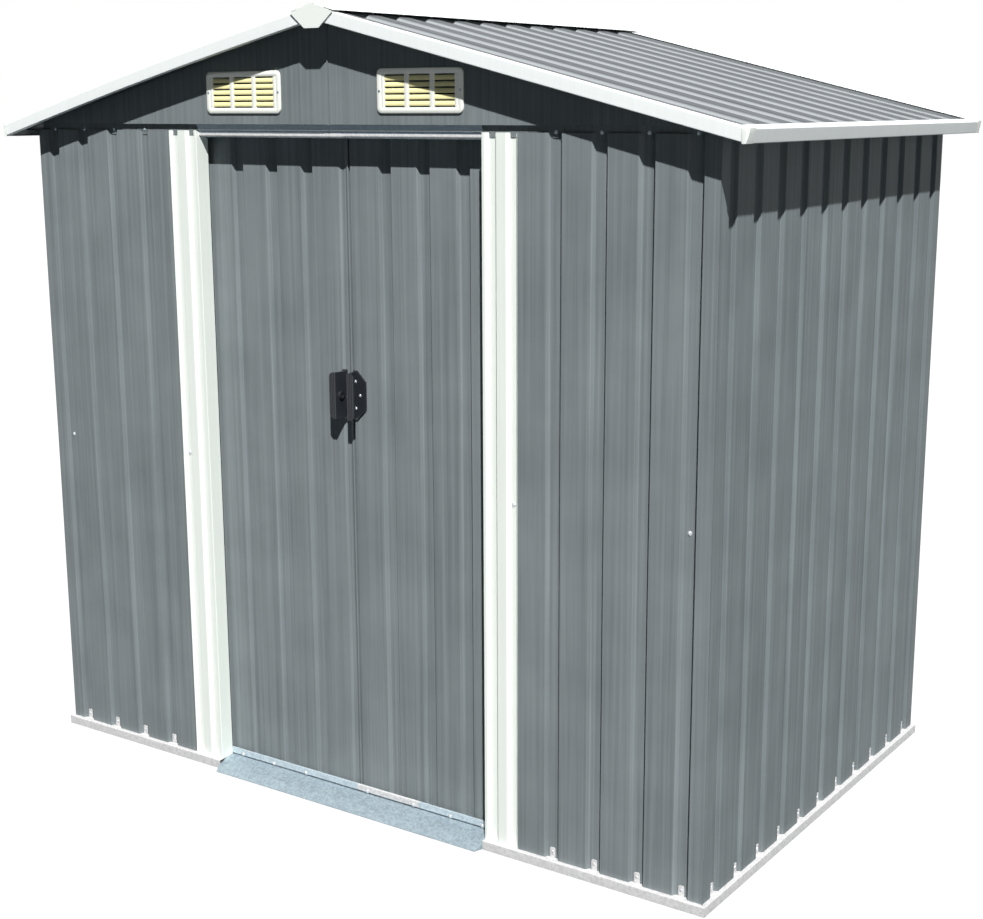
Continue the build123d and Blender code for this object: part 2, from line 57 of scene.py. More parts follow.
MM = 0.001
SHARP_FOLD = float(np.radians(50))
Path = list[tuple[float, float]]


class Body(Enum):
    """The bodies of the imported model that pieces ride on."""

    SHELL = "shell"
    LEFT_DOOR = "left_door"
    RIGHT_DOOR = "right_door"


class Slot(Enum):
    """The record's material slots."""

    WALL = "wall_paint"
    WHITE = "white_trim"
    ZINC = "galvanised"
    VENT = "vent_plastic"
    CAP = "cap_plastic"
    BLACK = "black_plastic"


class Run(Enum):
    """Which way a sheet ran through the rolls, as the axes along which its streaks are drawn out."""

    UPRIGHT = (False, False, True)
    DOWNHILL = (True, False, True)


@dataclass(frozen=True)
class Sizes:
    """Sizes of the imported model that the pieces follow."""

    half_width: float = 945 * MM
    half_depth: float = 594 * MM
    front_bays: int = 18
    side_bays: int = 11
    sheet: float = 1.0 * MM
    rail: float = 1.2 * MM
    trim: float = 1.2 * MM
    seat: float = 0.3 * MM
    groove_mouth: float = 35 * MM
    groove_floor: float = 27 * MM
    groove_depth: float = 9 * MM
    wall_bottom: float = 22.3 * MM
    wall_top: float = 1571 * MM
    plate_top: float = 1585 * MM
    ledge: float = 22 * MM
    lip: float = 10 * MM
    rail_depth: float = 16 * MM
    rail_foot: float = 20 * MM
    tab_width: float = 14 * MM
    tab_top: float = 46.8 * MM
    door_half: float = 402 * MM
    jamb_width: float = 88 * MM
    door_setback: float = 50 * MM
    track_bottom: float = 1556 * MM
    trough_front: float = 41 * MM
    trough_height: float = 42 * MM
    threshold_reach: float = 4 * MM
    threshold_drop: float = 14 * MM
    sill_reach: float = 31 * MM
    sill_top: float = 25.5 * MM
    sill_hem: float = 12 * MM
    roof_angle: float = float(np.radians(13.7))
    roof_pitch: float = 107 * MM
    roof_shift: float = -15 * MM
    roof_half: float = 640.2 * MM
    rib_height: float = 12 * MM
    ridge_opening: float = 8 * MM
    verge_plane: float = 641.7 * MM
    eave_plane: float = 1021.7 * MM
    verge_height: float = 27.2 * MM
    verge_top_flange: float = 22 * MM
    verge_bottom_flange: float = 12 * MM
    verge_start: float = 5 * MM
    eave_fascia: float = 22 * MM
    eave_top_flange: float = 27 * MM
    eave_bottom_flange: float = 10 * MM
    ridge_cap_half: float = 58 * MM
    ridge_cap_crown: float = 8 * MM
    ridge_cap_rise: float = 18 * MM
    vent_width: float = 224 * MM
    vent_height: float = 93 * MM
    vent_corner: float = 12 * MM
    vent_place: float = 248 * MM
    vent_middle: float = 1655 * MM
    handle_height: float = 985 * MM
    handle_middle: float = 3.5 * MM

    @property
    def jamb_outer(self) -> float:
        """Distance from the middle to a jamb's outer edge."""
        return self.door_half + self.jamb_width

    def front_grooves(self, start: float, end: float) -> np.ndarray:
        """Middles of the front's grooves that lie whole between two places."""
        return self.grooves(2 * self.half_width, self.front_bays, start, end)

    def side_grooves(self) -> np.ndarray:
        """Middles of a side's grooves."""
        return self.grooves(2 * self.half_depth, self.side_bays, -self.half_depth, self.half_depth)

    def grooves(self, length: float, bays: int, start: float, end: float) -> np.ndarray:
        """Middles of evenly spaced grooves that lie whole between two places."""
        middles = (np.arange(bays) + 0.5) * length / bays - length / 2
        half = self.groove_mouth / 2
        return middles[(middles - half > start) & (middles + half < end)]

    @property
    def verge_top(self) -> float:
        """How far the trims' upper faces lie above the roof's pans."""
        return self.rib_height + self.seat + self.trim

    def roof_level(self, run: float, rise: float = 0.0) -> float:
        """Height, at a distance from the ridge line, of a surface that lies a rise above the roof's pans."""
        underside = self.plate_top + self.seat + (self.half_width - run) * np.tan(self.roof_angle)
        return underside + (self.sheet + rise) / np.cos(self.roof_angle)


SIZES = Sizes()


@dataclass(frozen=True)
class Plane:
    """A flat place for a profile: an origin and axes across and up. The run is along their cross product."""

    origin: tuple[float, float, float]
    across: tuple[float, float, float]
    up: tuple[float, float, float]

    def place(self, profile: np.ndarray, run: np.ndarray) -> np.ndarray:
        """Carry a profile (columns, 2) along runs (rows, columns), giving points (rows, columns, 3)."""
        flat = np.asarray(self.origin) + profile @ np.array([self.across, self.up])
        return flat[None] + run[..., None] * np.cross(self.across, self.up)

    def section(self, along: float) -> "Plane":
        """The plane across a wall face at a place along it, with its first axis into the shed."""
        origin = np.asarray(self.origin) + along * np.asarray(self.across)
        return Plane(tuple(origin), self.up, (0, 0, 1))

    def outside(self, along: Any, height: Any, outward: Any) -> np.ndarray:
        """Points of a wall face from places along it, heights and distances out, broadcast together."""
        places = np.stack(np.broadcast_arrays(along, height, outward), axis=-1)
        axes = np.array([self.across, (0, 0, 1), [-axis for axis in self.up]], float)
        return np.asarray(self.origin) + places @ axes


def roof_plane(side: int, run: float) -> Plane:
    """The plane across a roof side at a distance from the ridge line, with its run downhill."""
    cos, sin = np.cos(SIZES.roof_angle), np.sin(SIZES.roof_angle)
    return Plane((side * run, 0, SIZES.roof_level(run)), (0, side, 0), (side * sin, 0, cos))


FRONT = Plane((0, -SIZES.half_depth, 0), (1, 0, 0), (0, 1, 0))
BACK = Plane((0, SIZES.half_depth, 0), (-1, 0, 0), (0, -1, 0))
RIGHT = Plane((SIZES.half_width, 0, 0), (0, 1, 0), (-1, 0, 0))
LEFT = Plane((-SIZES.half_width, 0, 0), (0, -1, 0), (1, 0, 0))


def linear(colour: str) -> tuple[float, float, float, float]:
    """Turn an sRGB hex colour into linear RGBA.

    Args:
        colour: Six hex digits after a hash.

    Returns:
        Linear red, green and blue, and an alpha of one.
    """
    levels = np.array([int(colour[i : i + 2], 16) for i in (1, 3, 5)]) / 255
    low = levels / 12.92
    high = ((levels + 0.055) / 1.055) ** 2.4
    return (*np.where(levels <= 0.04045, low, high).tolist(), 1.0)


def add(
    tree: bpy.types.NodeTree,
    kind: str,
    settings: dict[Any, Any] | None = None,
    links: dict[Any, Any] | None = None,
) -> bpy.types.Node:
    """Add a node to a tree.

    Args:
        tree: The node tree of a material or world.
        kind: The node's type.
        settings: Values by input name, input number or property name.
        links: Output sockets by the input name or number that they feed.

    Returns:
        The new node.
    """
    node = tree.nodes.new(kind)
    for key, value in (settings or {}).items():
        if isinstance(key, str) and key not in node.inputs:
            setattr(node, key, value)
        else:
            node.inputs[key].default_value = value
    for key, socket in (links or {}).items():
        tree.links.new(socket, node.inputs[key])
    return node


def rounded(path: Path, radius: float, steps: int = 5, most: float = 0.45) -> np.ndarray:
    """Round a path's bends.

    Each bend is a parabola from one straight run to the next. Its arms are as long as a circle of the
    radius would need, or the largest share allowed of the shorter run beside it.

    Args:
        path: The corners, with the path's two ends.
        radius: Radius of the bends.
        steps: Points on each bend.
        most: Largest share of a run that an arm may take.

    Returns:
        Points (columns, 2) of the rounded path.
    """
    corners = np.array(path, float)
    ahead = np.diff(corners, axis=0)
    runs = np.linalg.norm(ahead, axis=1, keepdims=True)
    way = ahead / runs
    turn = np.arccos(np.clip((way[:-1] * way[1:]).sum(1, keepdims=True), -1, 1))
    arm = np.minimum(radius * np.tan(turn / 2), most * np.minimum(runs[:-1], runs[1:]))
    share = np.linspace(0, 1, steps)[None, :, None]
    bend = corners[1:-1, None]
    start = bend - (way[:-1] * arm)[:, None]
    end = bend + (way[1:] * arm)[:, None]
    curve = (1 - share) ** 2 * start + 2 * share * (1 - share) * bend + share**2 * end
    return np.concatenate([corners[:1], curve.reshape(-1, 2), corners[-1:]])


def pressed(places: np.ndarray, level: float, mouth: float, floor: float, depth: float) -> Path:
    """The bends of troughs pressed into a flat sheet, four to each place along it."""
    across = np.array([-mouth / 2, -floor / 2, floor / 2, mouth / 2])
    drop = np.array([0, depth, depth, 0])
    along = (np.asarray(places)[:, None] + across).ravel()
    return list(zip(along, np.tile(level + drop, len(places))))


def mesh_of(name: str, points: np.ndarray, wrap: tuple[bool, bool] = (False, False)) -> bpy.types.Object:
    """Make an object from copies of a grid of points.

    Args:
        name: The object's name.
        points: Points (rows, columns, 3) or (copies, rows, columns, 3).
        wrap: Whether the last row joins the first, and the last column the first.

    Returns:
        The object, smooth but for its sharp folds, in the scene.
    """
    grid = points.reshape(-1, *points.shape[-3:])
    copies, rows, columns = grid.shape[:3]
    index = np.arange(copies * rows * columns).reshape(copies, rows, columns)
    if wrap[0]:
        index = np.concatenate([index, index[:, :1]], axis=1)
    if wrap[1]:
        index = np.concatenate([index, index[:, :, :1]], axis=2)
    sides = [index[:, :-1, :-1], index[:, 1:, :-1], index[:, 1:, 1:], index[:, :-1, 1:]]
    quads = np.stack(sides, axis=-1).reshape(-1, 4)
    mesh = bpy.data.meshes.new(name)
    mesh.from_pydata(grid.reshape(-1, 3).tolist(), [], quads.tolist())
    mesh.polygons.foreach_set("use_smooth", np.ones(len(quads), bool))
    mesh.set_sharp_from_angle(angle=SHARP_FOLD)
    made = bpy.data.objects.new(name, mesh)
    bpy.context.scene.collection.objects.link(made)
    return made


def grained(
    tree: bpy.types.NodeTree, shader: bpy.types.Node, grain: float, strength: float, depth: float
) -> None:
    """Bump a shader with a fine noise.

    Args:
        tree: The material's node tree.
        shader: The shader whose normal is bumped.
        grain: Size of the noise.
        strength: Strength of the bump.
        depth: Height of the bump.
    """
    place = add(tree, "ShaderNodeTexCoord").outputs["Object"]
    fine = add(tree, "ShaderNodeTexNoise", {"Scale": 1 / grain, "Detail": 2.0}, {"Vector": place})
    bump = add(
        tree, "ShaderNodeBump", {"Strength": strength, "Distance": depth}, {"Height": fine.outputs["Fac"]}
    )
    tree.links.new(bump.outputs["Normal"], shader.inputs["Normal"])


@dataclass(frozen=True)
class Finish:
    """What every surface finish has: a name, a colour and how rough it is."""

    name: str
    colour: str
    roughness: float

    def material(self) -> bpy.types.Material:
        """Make the finish's material, its shader dressed by the finish's own pattern."""
        material = bpy.data.materials.new(self.name)
        material.use_nodes = True
        tree = material.node_tree
        shader = tree.nodes["Principled BSDF"]
        shader.inputs["Base Color"].default_value = linear(self.colour)
        shader.inputs["Roughness"].default_value = self.roughness
        material.diffuse_color = linear(self.colour)
        self.pattern(tree, shader)
        return material

    def pattern(self, tree: bpy.types.NodeTree, shader: bpy.types.Node) -> None:
        """Add the finish's pattern to its shader."""


@dataclass(frozen=True)
class CoilCoatedSteel(Finish):
    """Polyester paint baked on steel in the coil: satin, faintly streaked the way it ran."""

    light: str
    dark: str
    run: Run
    flank_highlight: str = ""
    specular: float = 0.07
    streak_width: float = 9 * MM
    streak_length: float = 900 * MM
    mottle: float = 160 * MM
    mottle_share: float = 0.35
    dark_at: float = 0.34
    light_at: float = 0.68
    grain: float = 1.6 * MM
    grain_strength: float = 0.06
    grain_depth: float = 0.2 * MM

    def pattern(self, tree: bpy.types.NodeTree, shader: bpy.types.Node) -> None:
        """Streaks are noise drawn out along the run, over a broad mottle. A fine noise is its texture.

        Where a flank highlight colour is given, the ribs' steep flanks, marked on the mesh, take it: a
        painted highlight.
        """
        shader.inputs["Specular IOR Level"].default_value = self.specular
        place = add(tree, "ShaderNodeTexCoord").outputs["Object"]
        drawn = [1 / (self.streak_length if along else self.streak_width) for along in self.run.value]
        stretched = add(tree, "ShaderNodeMapping", {"Scale": drawn}, {"Vector": place})
        streaks = add(
            tree,
            "ShaderNodeTexNoise",
            {"Scale": 1.0, "Detail": 3.0, "Roughness": 0.6},
            {"Vector": stretched.outputs["Vector"]},
        )
        mottle = add(tree, "ShaderNodeTexNoise", {"Scale": 1 / self.mottle, "Detail": 4.0}, {"Vector": place})
        both = {2: streaks.outputs["Fac"], 3: mottle.outputs["Fac"]}
        mixed = add(tree, "ShaderNodeMix", {0: self.mottle_share}, both)
        shade = add(tree, "ShaderNodeValToRGB", {}, {"Fac": mixed.outputs[0]})
        shade.color_ramp.elements[0].position = self.dark_at
        shade.color_ramp.elements[0].color = linear(self.dark)
        shade.color_ramp.elements[1].position = self.light_at
        shade.color_ramp.elements[1].color = linear(self.light)
        colour = shade.outputs["Color"]
        # Painted highlight: the ribs' steep flanks are painted paler, standing in for the glint of light on
        # them.
        if self.flank_highlight:
            flank = add(tree, "ShaderNodeAttribute", {"attribute_name": "flank"})
            paler = add(
                tree,
                "ShaderNodeMix",
                {"data_type": "RGBA", 7: linear(self.flank_highlight)},
                {0: flank.outputs["Fac"], 6: colour},
            )
            colour = paler.outputs[2]
        tree.links.new(colour, shader.inputs["Base Color"])
        grained(tree, shader, self.grain, self.grain_strength, self.grain_depth)


@dataclass(frozen=True)
class GalvanisedSteel(Finish):
    """Hot-dip zinc on steel: dull bluish metal with a spangle of crystals that differ in shade and gloss."""

    light: str
    dark: str
    metallic: float = 0.3
    spangle: float = 5 * MM
    gloss_spread: tuple[float, float] = (-0.08, 0.1)

    def pattern(self, tree: bpy.types.NodeTree, shader: bpy.types.Node) -> None:
        """Each cell of a cell pattern is one zinc crystal with a shade and a roughness of its own."""
        shader.inputs["Metallic"].default_value = self.metallic
        place = add(tree, "ShaderNodeTexCoord").outputs["Object"]
        cells = {"Scale": 1 / self.spangle, "Randomness": 1.0}
        crystals = add(tree, "ShaderNodeTexVoronoi", cells, {"Vector": place})
        level = add(tree, "ShaderNodeSeparateColor", {}, {"Color": crystals.outputs["Color"]})
        shade = add(tree, "ShaderNodeValToRGB", {}, {"Fac": level.outputs["Red"]})
        shade.color_ramp.elements[0].color = linear(self.dark)
        shade.color_ramp.elements[1].color = linear(self.light)
        tree.links.new(shade.outputs["Color"], shader.inputs["Base Color"])
        smooth, rough = (self.roughness + shift for shift in self.gloss_spread)
        spread = {"To Min": smooth, "To Max": rough}
        gloss = add(tree, "ShaderNodeMapRange", spread, {"Value": level.outputs["Green"]})
        tree.links.new(gloss.outputs["Result"], shader.inputs["Roughness"])


@dataclass(frozen=True)
class MouldedPlastic(Finish):
    """Injection-moulded plastic with a fine spark-eroded grain."""

    grain: float = 0.9 * MM
    grain_strength: float = 0.12
    grain_depth: float = 0.15 * MM
    specular: float = 0.5

    def pattern(self, tree: bpy.types.NodeTree, shader: bpy.types.Node) -> None:
        """A fine noise is the grain that the mould leaves."""
        shader.inputs["Specular IOR Level"].default_value = self.specular
        grained(tree, shader, self.grain, self.grain_strength, self.grain_depth)


@dataclass
class Paints:
    """The materials made once and shared by the pieces."""

    wall: bpy.types.Material
    side: bpy.types.Material
    roof: bpy.types.Material
    white: bpy.types.Material
    trim: bpy.types.Material
    zinc: bpy.types.Material
    header: bpy.types.Material
    track: bpy.types.Material
    pale: bpy.types.Material
    bright: bpy.types.Material
    ivory: bpy.types.Material
    vent: bpy.types.Material
    cap: bpy.types.Material
    black: bpy.types.Material

    @classmethod
    def mixed(cls) -> "Paints":
        """Make every finish's material."""
        finishes = {
            "wall": CoilCoatedSteel(
                "coil_coated_grey_wall", "#7c8385", 0.5, "#888f91", "#6f7678", Run.UPRIGHT
            ),
            # A darker copy of the wall paint for the side walls: painted shade for the lower light on them.
            "side": CoilCoatedSteel(
                "painted_shade_grey_side_wall", "#747b7d", 0.5, "#7f8789", "#686f71", Run.UPRIGHT
            ),
            # The roof's flank colour is a painted highlight on the ribs' steep flanks.
            "roof": CoilCoatedSteel(
                "coil_coated_grey_roof", "#575b5e", 0.5, "#626669", "#4d5154", Run.DOWNHILL, flank_highlight="#a5a9ab"
            ),
            "white": CoilCoatedSteel("coil_coated_white", "#ecf1ea", 0.42, "#eef3ec", "#e8ede6", Run.UPRIGHT),
            "trim": CoilCoatedSteel(
                "coil_coated_white_trim", "#f6faf8", 0.42, "#f8fcfa", "#f3f7f5", Run.UPRIGHT
            ),
            "zinc": GalvanisedSteel("hot_dip_galvanised", "#94a4ac", 0.45, "#a0afb6", "#86949d"),
            # A lighter, bluer copy of the zinc without metal gloss: painted light on the header, which lies
            # in shade.
            "header": GalvanisedSteel(
                "galvanised_header_painted_light", "#aebfcc", 0.6, "#b6c7d4", "#a6b7c4", metallic=0.0
            ),
            "track": GalvanisedSteel(
                "bright_galvanised_track", "#bccad1", 0.45, "#c6d4da", "#b0bec6", metallic=0.2
            ),
            "pale": GalvanisedSteel(
                "weathered_galvanised_rail", "#d2d1d0", 0.55, "#dad9d8", "#c6c5c5", metallic=0.1
            ),
            "bright": GalvanisedSteel(
                "bright_zinc_plated_screw", "#d6dadd", 0.3, "#dee2e4", "#ccd0d4", metallic=0.7, spangle=3 * MM
            ),
            "ivory": MouldedPlastic("moulded_ivory_polypropylene", "#f6edb0", 0.45),
            "vent": MouldedPlastic("moulded_glossy_polypropylene", "#f5f7ee", 0.35, specular=1.0),
            "cap": MouldedPlastic("moulded_white_polypropylene", "#f3f7f1", 0.42),
            "black": MouldedPlastic("moulded_black_abs", "#23262b", 0.4),
        }
        return cls(**{name: finish.material() for name, finish in finishes.items()})

    def of_slot(self, slot: Slot) -> bpy.types.Material:
        """The material that a CAD node of a slot wears."""
        return {
            Slot.WALL: self.wall,
            Slot.WHITE: self.white,
            Slot.ZINC: self.zinc,
            Slot.VENT: self.ivory,
            Slot.CAP: self.cap,
            Slot.BLACK: self.black,
        }[slot]


def finished(
    made: bpy.types.Object,
    material: bpy.types.Material,
    body: Body,
    nodes: tuple[str, ...] = (),
) -> bpy.types.Object:
    """Paint a piece, set it on its body and hide the CAD nodes that it stands for.

    Args:
        made: The new piece, in place.
        material: Its material.
        body: The body that it rides on.
        nodes: CAD nodes that it replaces.

    Returns:
        The piece.
    """
    made.data.materials.append(material)
    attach(made, body.value)
    if nodes:
        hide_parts(*nodes)
    log.info("%s on %s: %s", made.name, body.value, material.name)
    return made


def thicken(made: bpy.types.Object, gauge: float, on_left: bool) -> None:
    """Give a surface its sheet's thickness, on the left or right of the path it was carried from."""
    thick = made.modifiers.new("gauge", "SOLIDIFY")
    thick.thickness = gauge
    thick.offset = 1 if on_left else -1
    flat = made.modifiers.new("flat_faces", "WEIGHTED_NORMAL")
    flat.keep_sharp = True


def soften(made: bpy.types.Object, width: float, sharper_than: float = 35) -> None:
    """Round a piece's edges that turn by more than an angle in degrees, as moulding leaves them."""
    bevel = made.modifiers.new("edges", "BEVEL")
    bevel.width = width
    bevel.segments = 2
    bevel.limit_method = "ANGLE"
    bevel.angle_limit = np.radians(sharper_than)


@dataclass
class FoldedSheet:
    """Sheet steel folded along straight lines: a profile with rounded bends, carried along a straight run.

    A point is the plane's origin, plus the rounded profile's two coordinates along the plane's axes, plus
    the run along their cross product. The run's ends may move with the profile's first coordinate, which
    makes a mitre. A slow wave across and along the sheet, a product of sines that fades to the run's ends,
    is the slight buckle of thin sheet, and half a sine along the run is a bow. How steep the profile is at
    each point, from gentle to steep and squared, is kept as "flank".
    """

    name: str
    plane: Plane
    path: Path
    start: float
    end: float
    gauge: float
    on_left: bool = True
    bend: float = 1.6 * MM
    rows: int = 3
    mitres: tuple[float, float] = (0.0, 0.0)
    buckle: float = 0.0
    bow: float = 0.0
    wave_along: float = 5.3
    wave_across: float = 9.7
    wave_skew: float = 1.3
    wave_phase: float = 1.1
    gentle: float = 0.35
    steep: float = 0.8
    nodes: tuple[str, ...] = ()
    body: Body = Body.SHELL

    def ends(self, profile: np.ndarray) -> tuple[np.ndarray, np.ndarray]:
        """Where the run starts and ends at each of the profile's points."""
        return self.start + self.mitres[0] * profile[:, 0], self.end + self.mitres[1] * profile[:, 0]

    def build(self, material: bpy.types.Material, slot: Slot) -> bpy.types.Object:
        """Make the sheet, thickened to its gauge."""
        profile = rounded(self.path, self.bend)
        first, last = self.ends(profile)
        share = np.linspace(0, 1, self.rows)[:, None]
        run = first + (last - first) * share
        points = self.plane.place(profile, run)
        half_sine = np.sin(np.pi * share)
        along = np.sin(run * self.wave_along + self.wave_phase)
        across = np.sin(profile[:, 0] * self.wave_across + run * self.wave_skew)
        shift = self.buckle * (along * across * half_sine) + self.bow * half_sine
        points += shift[..., None] * np.asarray(self.plane.up)
        made = mesh_of(self.name, points)
        # The roof paint reads this flank mark as the mask of its painted highlight.
        ahead = np.gradient(profile, axis=0)
        slope = np.abs(ahead[:, 1]) / np.linalg.norm(ahead, axis=1)
        marked = np.clip((slope - self.gentle) / (self.steep - self.gentle), 0, 1) ** 2
        flank = made.data.attributes.new("flank", "FLOAT", "POINT")
        flank.data.foreach_set("value", np.tile(marked, self.rows).astype(np.float32))
        thicken(made, self.gauge, self.on_left)
        return finished(made, material, self.body, self.nodes)


@dataclass
class Jamb(FoldedSheet):
    """A jamb whose inner return is cut down in a round corner under the door track."""

    notch_start: float = 16 * MM
    notch_end: float = 24 * MM
    notch_top: float = 1552 * MM

    def ends(self, profile: np.ndarray) -> tuple[np.ndarray, np.ndarray]:
        """The return's top falls in a quarter circle from the wall's top to the notch."""
        first, last = super().ends(profile)
        share = np.clip((profile[:, 1] - self.notch_start) / (self.notch_end - self.notch_start), 0, 1)
        return first, last + (self.notch_top - self.end) * (1 - np.sqrt(1 - share**2))


@dataclass
class Walls:
    """The ribbed wall sheets, the right one at the back joggled to lap behind the left one."""

    bend: float = 2.4 * MM
    rows: int = 28
    buckle: float = 0.5 * MM
    joggle: float = 2 * MM
    lap: float = 14 * MM

    def sheet(self, name: str, face: Plane, start: float, end: float, grooves: np.ndarray) -> FoldedSheet:
        """One ribbed sheet that stands on the base ledge."""
        s = SIZES
        troughs = pressed(grooves, 0, s.groove_mouth, s.groove_floor, s.groove_depth)
        path = [(start, 0.0), *troughs, (end, 0.0)]
        if name == "back_right_wall":
            behind = s.sheet + 2 * s.seat
            path[-1:] = [(end - self.joggle, 0.0), (end, behind), (end + self.lap, behind)]
        return FoldedSheet(
            f"{name}_ribbed", face, path, s.wall_bottom, s.wall_top, s.sheet,
            bend=self.bend, rows=self.rows, buckle=self.buckle, nodes=(name,),
        )

    def build(self, paints: Paints) -> None:
        """Make the six sheets."""
        s = SIZES
        side = s.half_depth - s.sheet - s.seat
        joint = s.seat / 2
        wide = s.half_width
        left_end = -s.jamb_outer - s.seat
        for name, face, start, end, grooves in (
            ("front_left_wall", FRONT, -wide, left_end, s.front_grooves(-wide, -s.jamb_outer)),
            ("front_right_wall", FRONT, -left_end, wide, s.front_grooves(s.jamb_outer, wide)),
            ("left_wall", LEFT, -side, side, s.side_grooves()),
            ("right_wall", RIGHT, -side, side, s.side_grooves()),
            ("back_left_wall", BACK, joint, wide, s.front_grooves(0, wide)),
            ("back_right_wall", BACK, -wide, -joint, s.front_grooves(-wide, 0)),
        ):
            # The side walls take the darker copy of the wall paint, which is painted shade.
            material = paints.side if face in (LEFT, RIGHT) else paints.wall
            self.sheet(name, face, start, end, grooves).build(material, Slot.WALL)


@dataclass
class Jambs:
    """The white jambs beside the doorway."""

    bead: float = 8 * MM
    flank: float = 6 * MM
    pan: float = 24 * MM
    lip: float = 18 * MM
    depth: float = 38 * MM
    joggle: float = 25 * MM
    rows: int = 28

    def build(self, paints: Paints) -> None:
        """Make both jambs from one path and its mirror image."""
        s = SIZES
        floor = (s.jamb_width - self.bead - self.pan - 4 * self.flank) / 2
        steps = [
            (self.lip, self.depth),
            (0, self.depth),
            (0, 0),
            (self.bead, 0),
            (self.bead + self.flank, s.groove_depth),
            (self.bead + self.flank + floor, s.groove_depth),
            (self.bead + 2 * self.flank + floor, 0),
            (self.bead + 2 * self.flank + floor + self.pan, 0),
            (s.jamb_width - self.flank - floor, s.groove_depth),
            (s.jamb_width - self.flank, s.groove_depth),
            (s.jamb_width, 0),
            (s.jamb_width, s.sheet + s.seat),
            (s.jamb_width + self.joggle, s.sheet + s.seat),
        ]
        for hand, name in ((-1, "left_jamb"), (1, "right_jamb")):
            path = [(hand * (s.door_half + across), inward) for across, inward in steps]
            Jamb(
                f"{name}_folded", FRONT, path, s.wall_bottom, s.wall_top, s.sheet,
                on_left=hand > 0, rows=self.rows, nodes=(name,),
            ).build(paints.white, Slot.WHITE)


@dataclass
class Doors:
    """The two sliding door sheets."""

    seam: float = 10 * MM
    gap: float = 5 * MM
    end: float = 440 * MM
    hem: float = 12 * MM
    first_groove: float = 111.5 * MM
    groove_middle: float = -1.5 * MM
    bead_place: float = 7 * MM
    bead: tuple[float, float, float] = (25 * MM, 11 * MM, 3.5 * MM)
    grooves: int = 3
    bend: float = 2.4 * MM
    rows: int = 28
    buckle: float = 0.5 * MM

    def build(self, paints: Paints) -> None:
        """Make both doors, the left one with a shallow bead beside its meeting edge."""
        s = SIZES
        pitch = 2 * s.half_width / s.front_bays
        for hand, name, body in ((-1, "left", Body.LEFT_DOOR), (1, "right", Body.RIGHT_DOOR)):
            meeting = hand * self.seam + self.gap / 2
            first = self.first_groove + hand * self.groove_middle
            grooves = first + pitch * np.arange(self.grooves)
            bead = pressed(np.array([self.bead_place]), s.door_setback, *self.bead) if hand < 0 else []
            path = [
                (meeting, s.door_setback + self.hem),
                (meeting, s.door_setback),
                *bead,
                *pressed(grooves, s.door_setback, s.groove_mouth, s.groove_floor, s.groove_depth),
                (self.end, s.door_setback),
                (self.end, s.door_setback + self.hem),
            ]
            low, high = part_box(f"{name}_door_sheet")
            FoldedSheet(
                f"{name}_door_ribbed", FRONT, [(hand * across, inward) for across, inward in path],
                low.z, high.z, s.sheet,
                on_left=hand > 0, bend=self.bend, rows=self.rows, buckle=self.buckle,
                nodes=(f"{name}_door_sheet",), body=body,
            ).build(paints.wall, Slot.WALL)


@dataclass
class Roof:
    """The ribbed roof sheets."""

    pan_mouth: float = 62 * MM
    pan_floor: float = 44 * MM
    joint: float = 0.15 * MM
    bend: float = 11 * MM

    def build(self, paints: Paints) -> None:
        """Make two sheets on each side, jointed on a rib, the back ones cut through a pan at the verge."""
        s = SIZES
        count = int(s.roof_half / s.roof_pitch) + 1
        pans = s.roof_shift + s.roof_pitch * np.arange(-count, count + 1)
        middle = s.roof_shift - s.roof_pitch / 2
        half = self.pan_mouth / 2
        for side, side_name in ((-1, "left"), (1, "right")):
            for low, high, end_name in (
                (-s.roof_half, middle - self.joint, "front"),
                (middle + self.joint, s.roof_half, "back"),
            ):
                name = f"{side_name}_roof_{end_name}"
                whole = pans[(pans - half > low) & (pans + half < high)]
                path = [
                    (low, s.rib_height),
                    *pressed(whole, s.rib_height, self.pan_mouth, self.pan_floor, -s.rib_height),
                    (high, s.rib_height),
                ]
                if end_name == "back":
                    cut = pans[pans + half > high][0]
                    path[-1:] = [(cut - half, s.rib_height), (cut - self.pan_floor / 2, 0), (high, 0)]
                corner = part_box(name)
                reach = max(abs(corner[0].x), abs(corner[1].x)) - s.ridge_opening
                length = (reach - s.rib_height * np.sin(s.roof_angle)) / np.cos(s.roof_angle)
                turned = [(side * across, level) for across, level in path[::side]]
                FoldedSheet(
                    f"{name}_ribbed", roof_plane(side, s.ridge_opening), turned, 0, length, s.sheet,
                    on_left=False, bend=self.bend, rows=12, nodes=(name,),
                ).build(paints.roof, Slot.WALL)


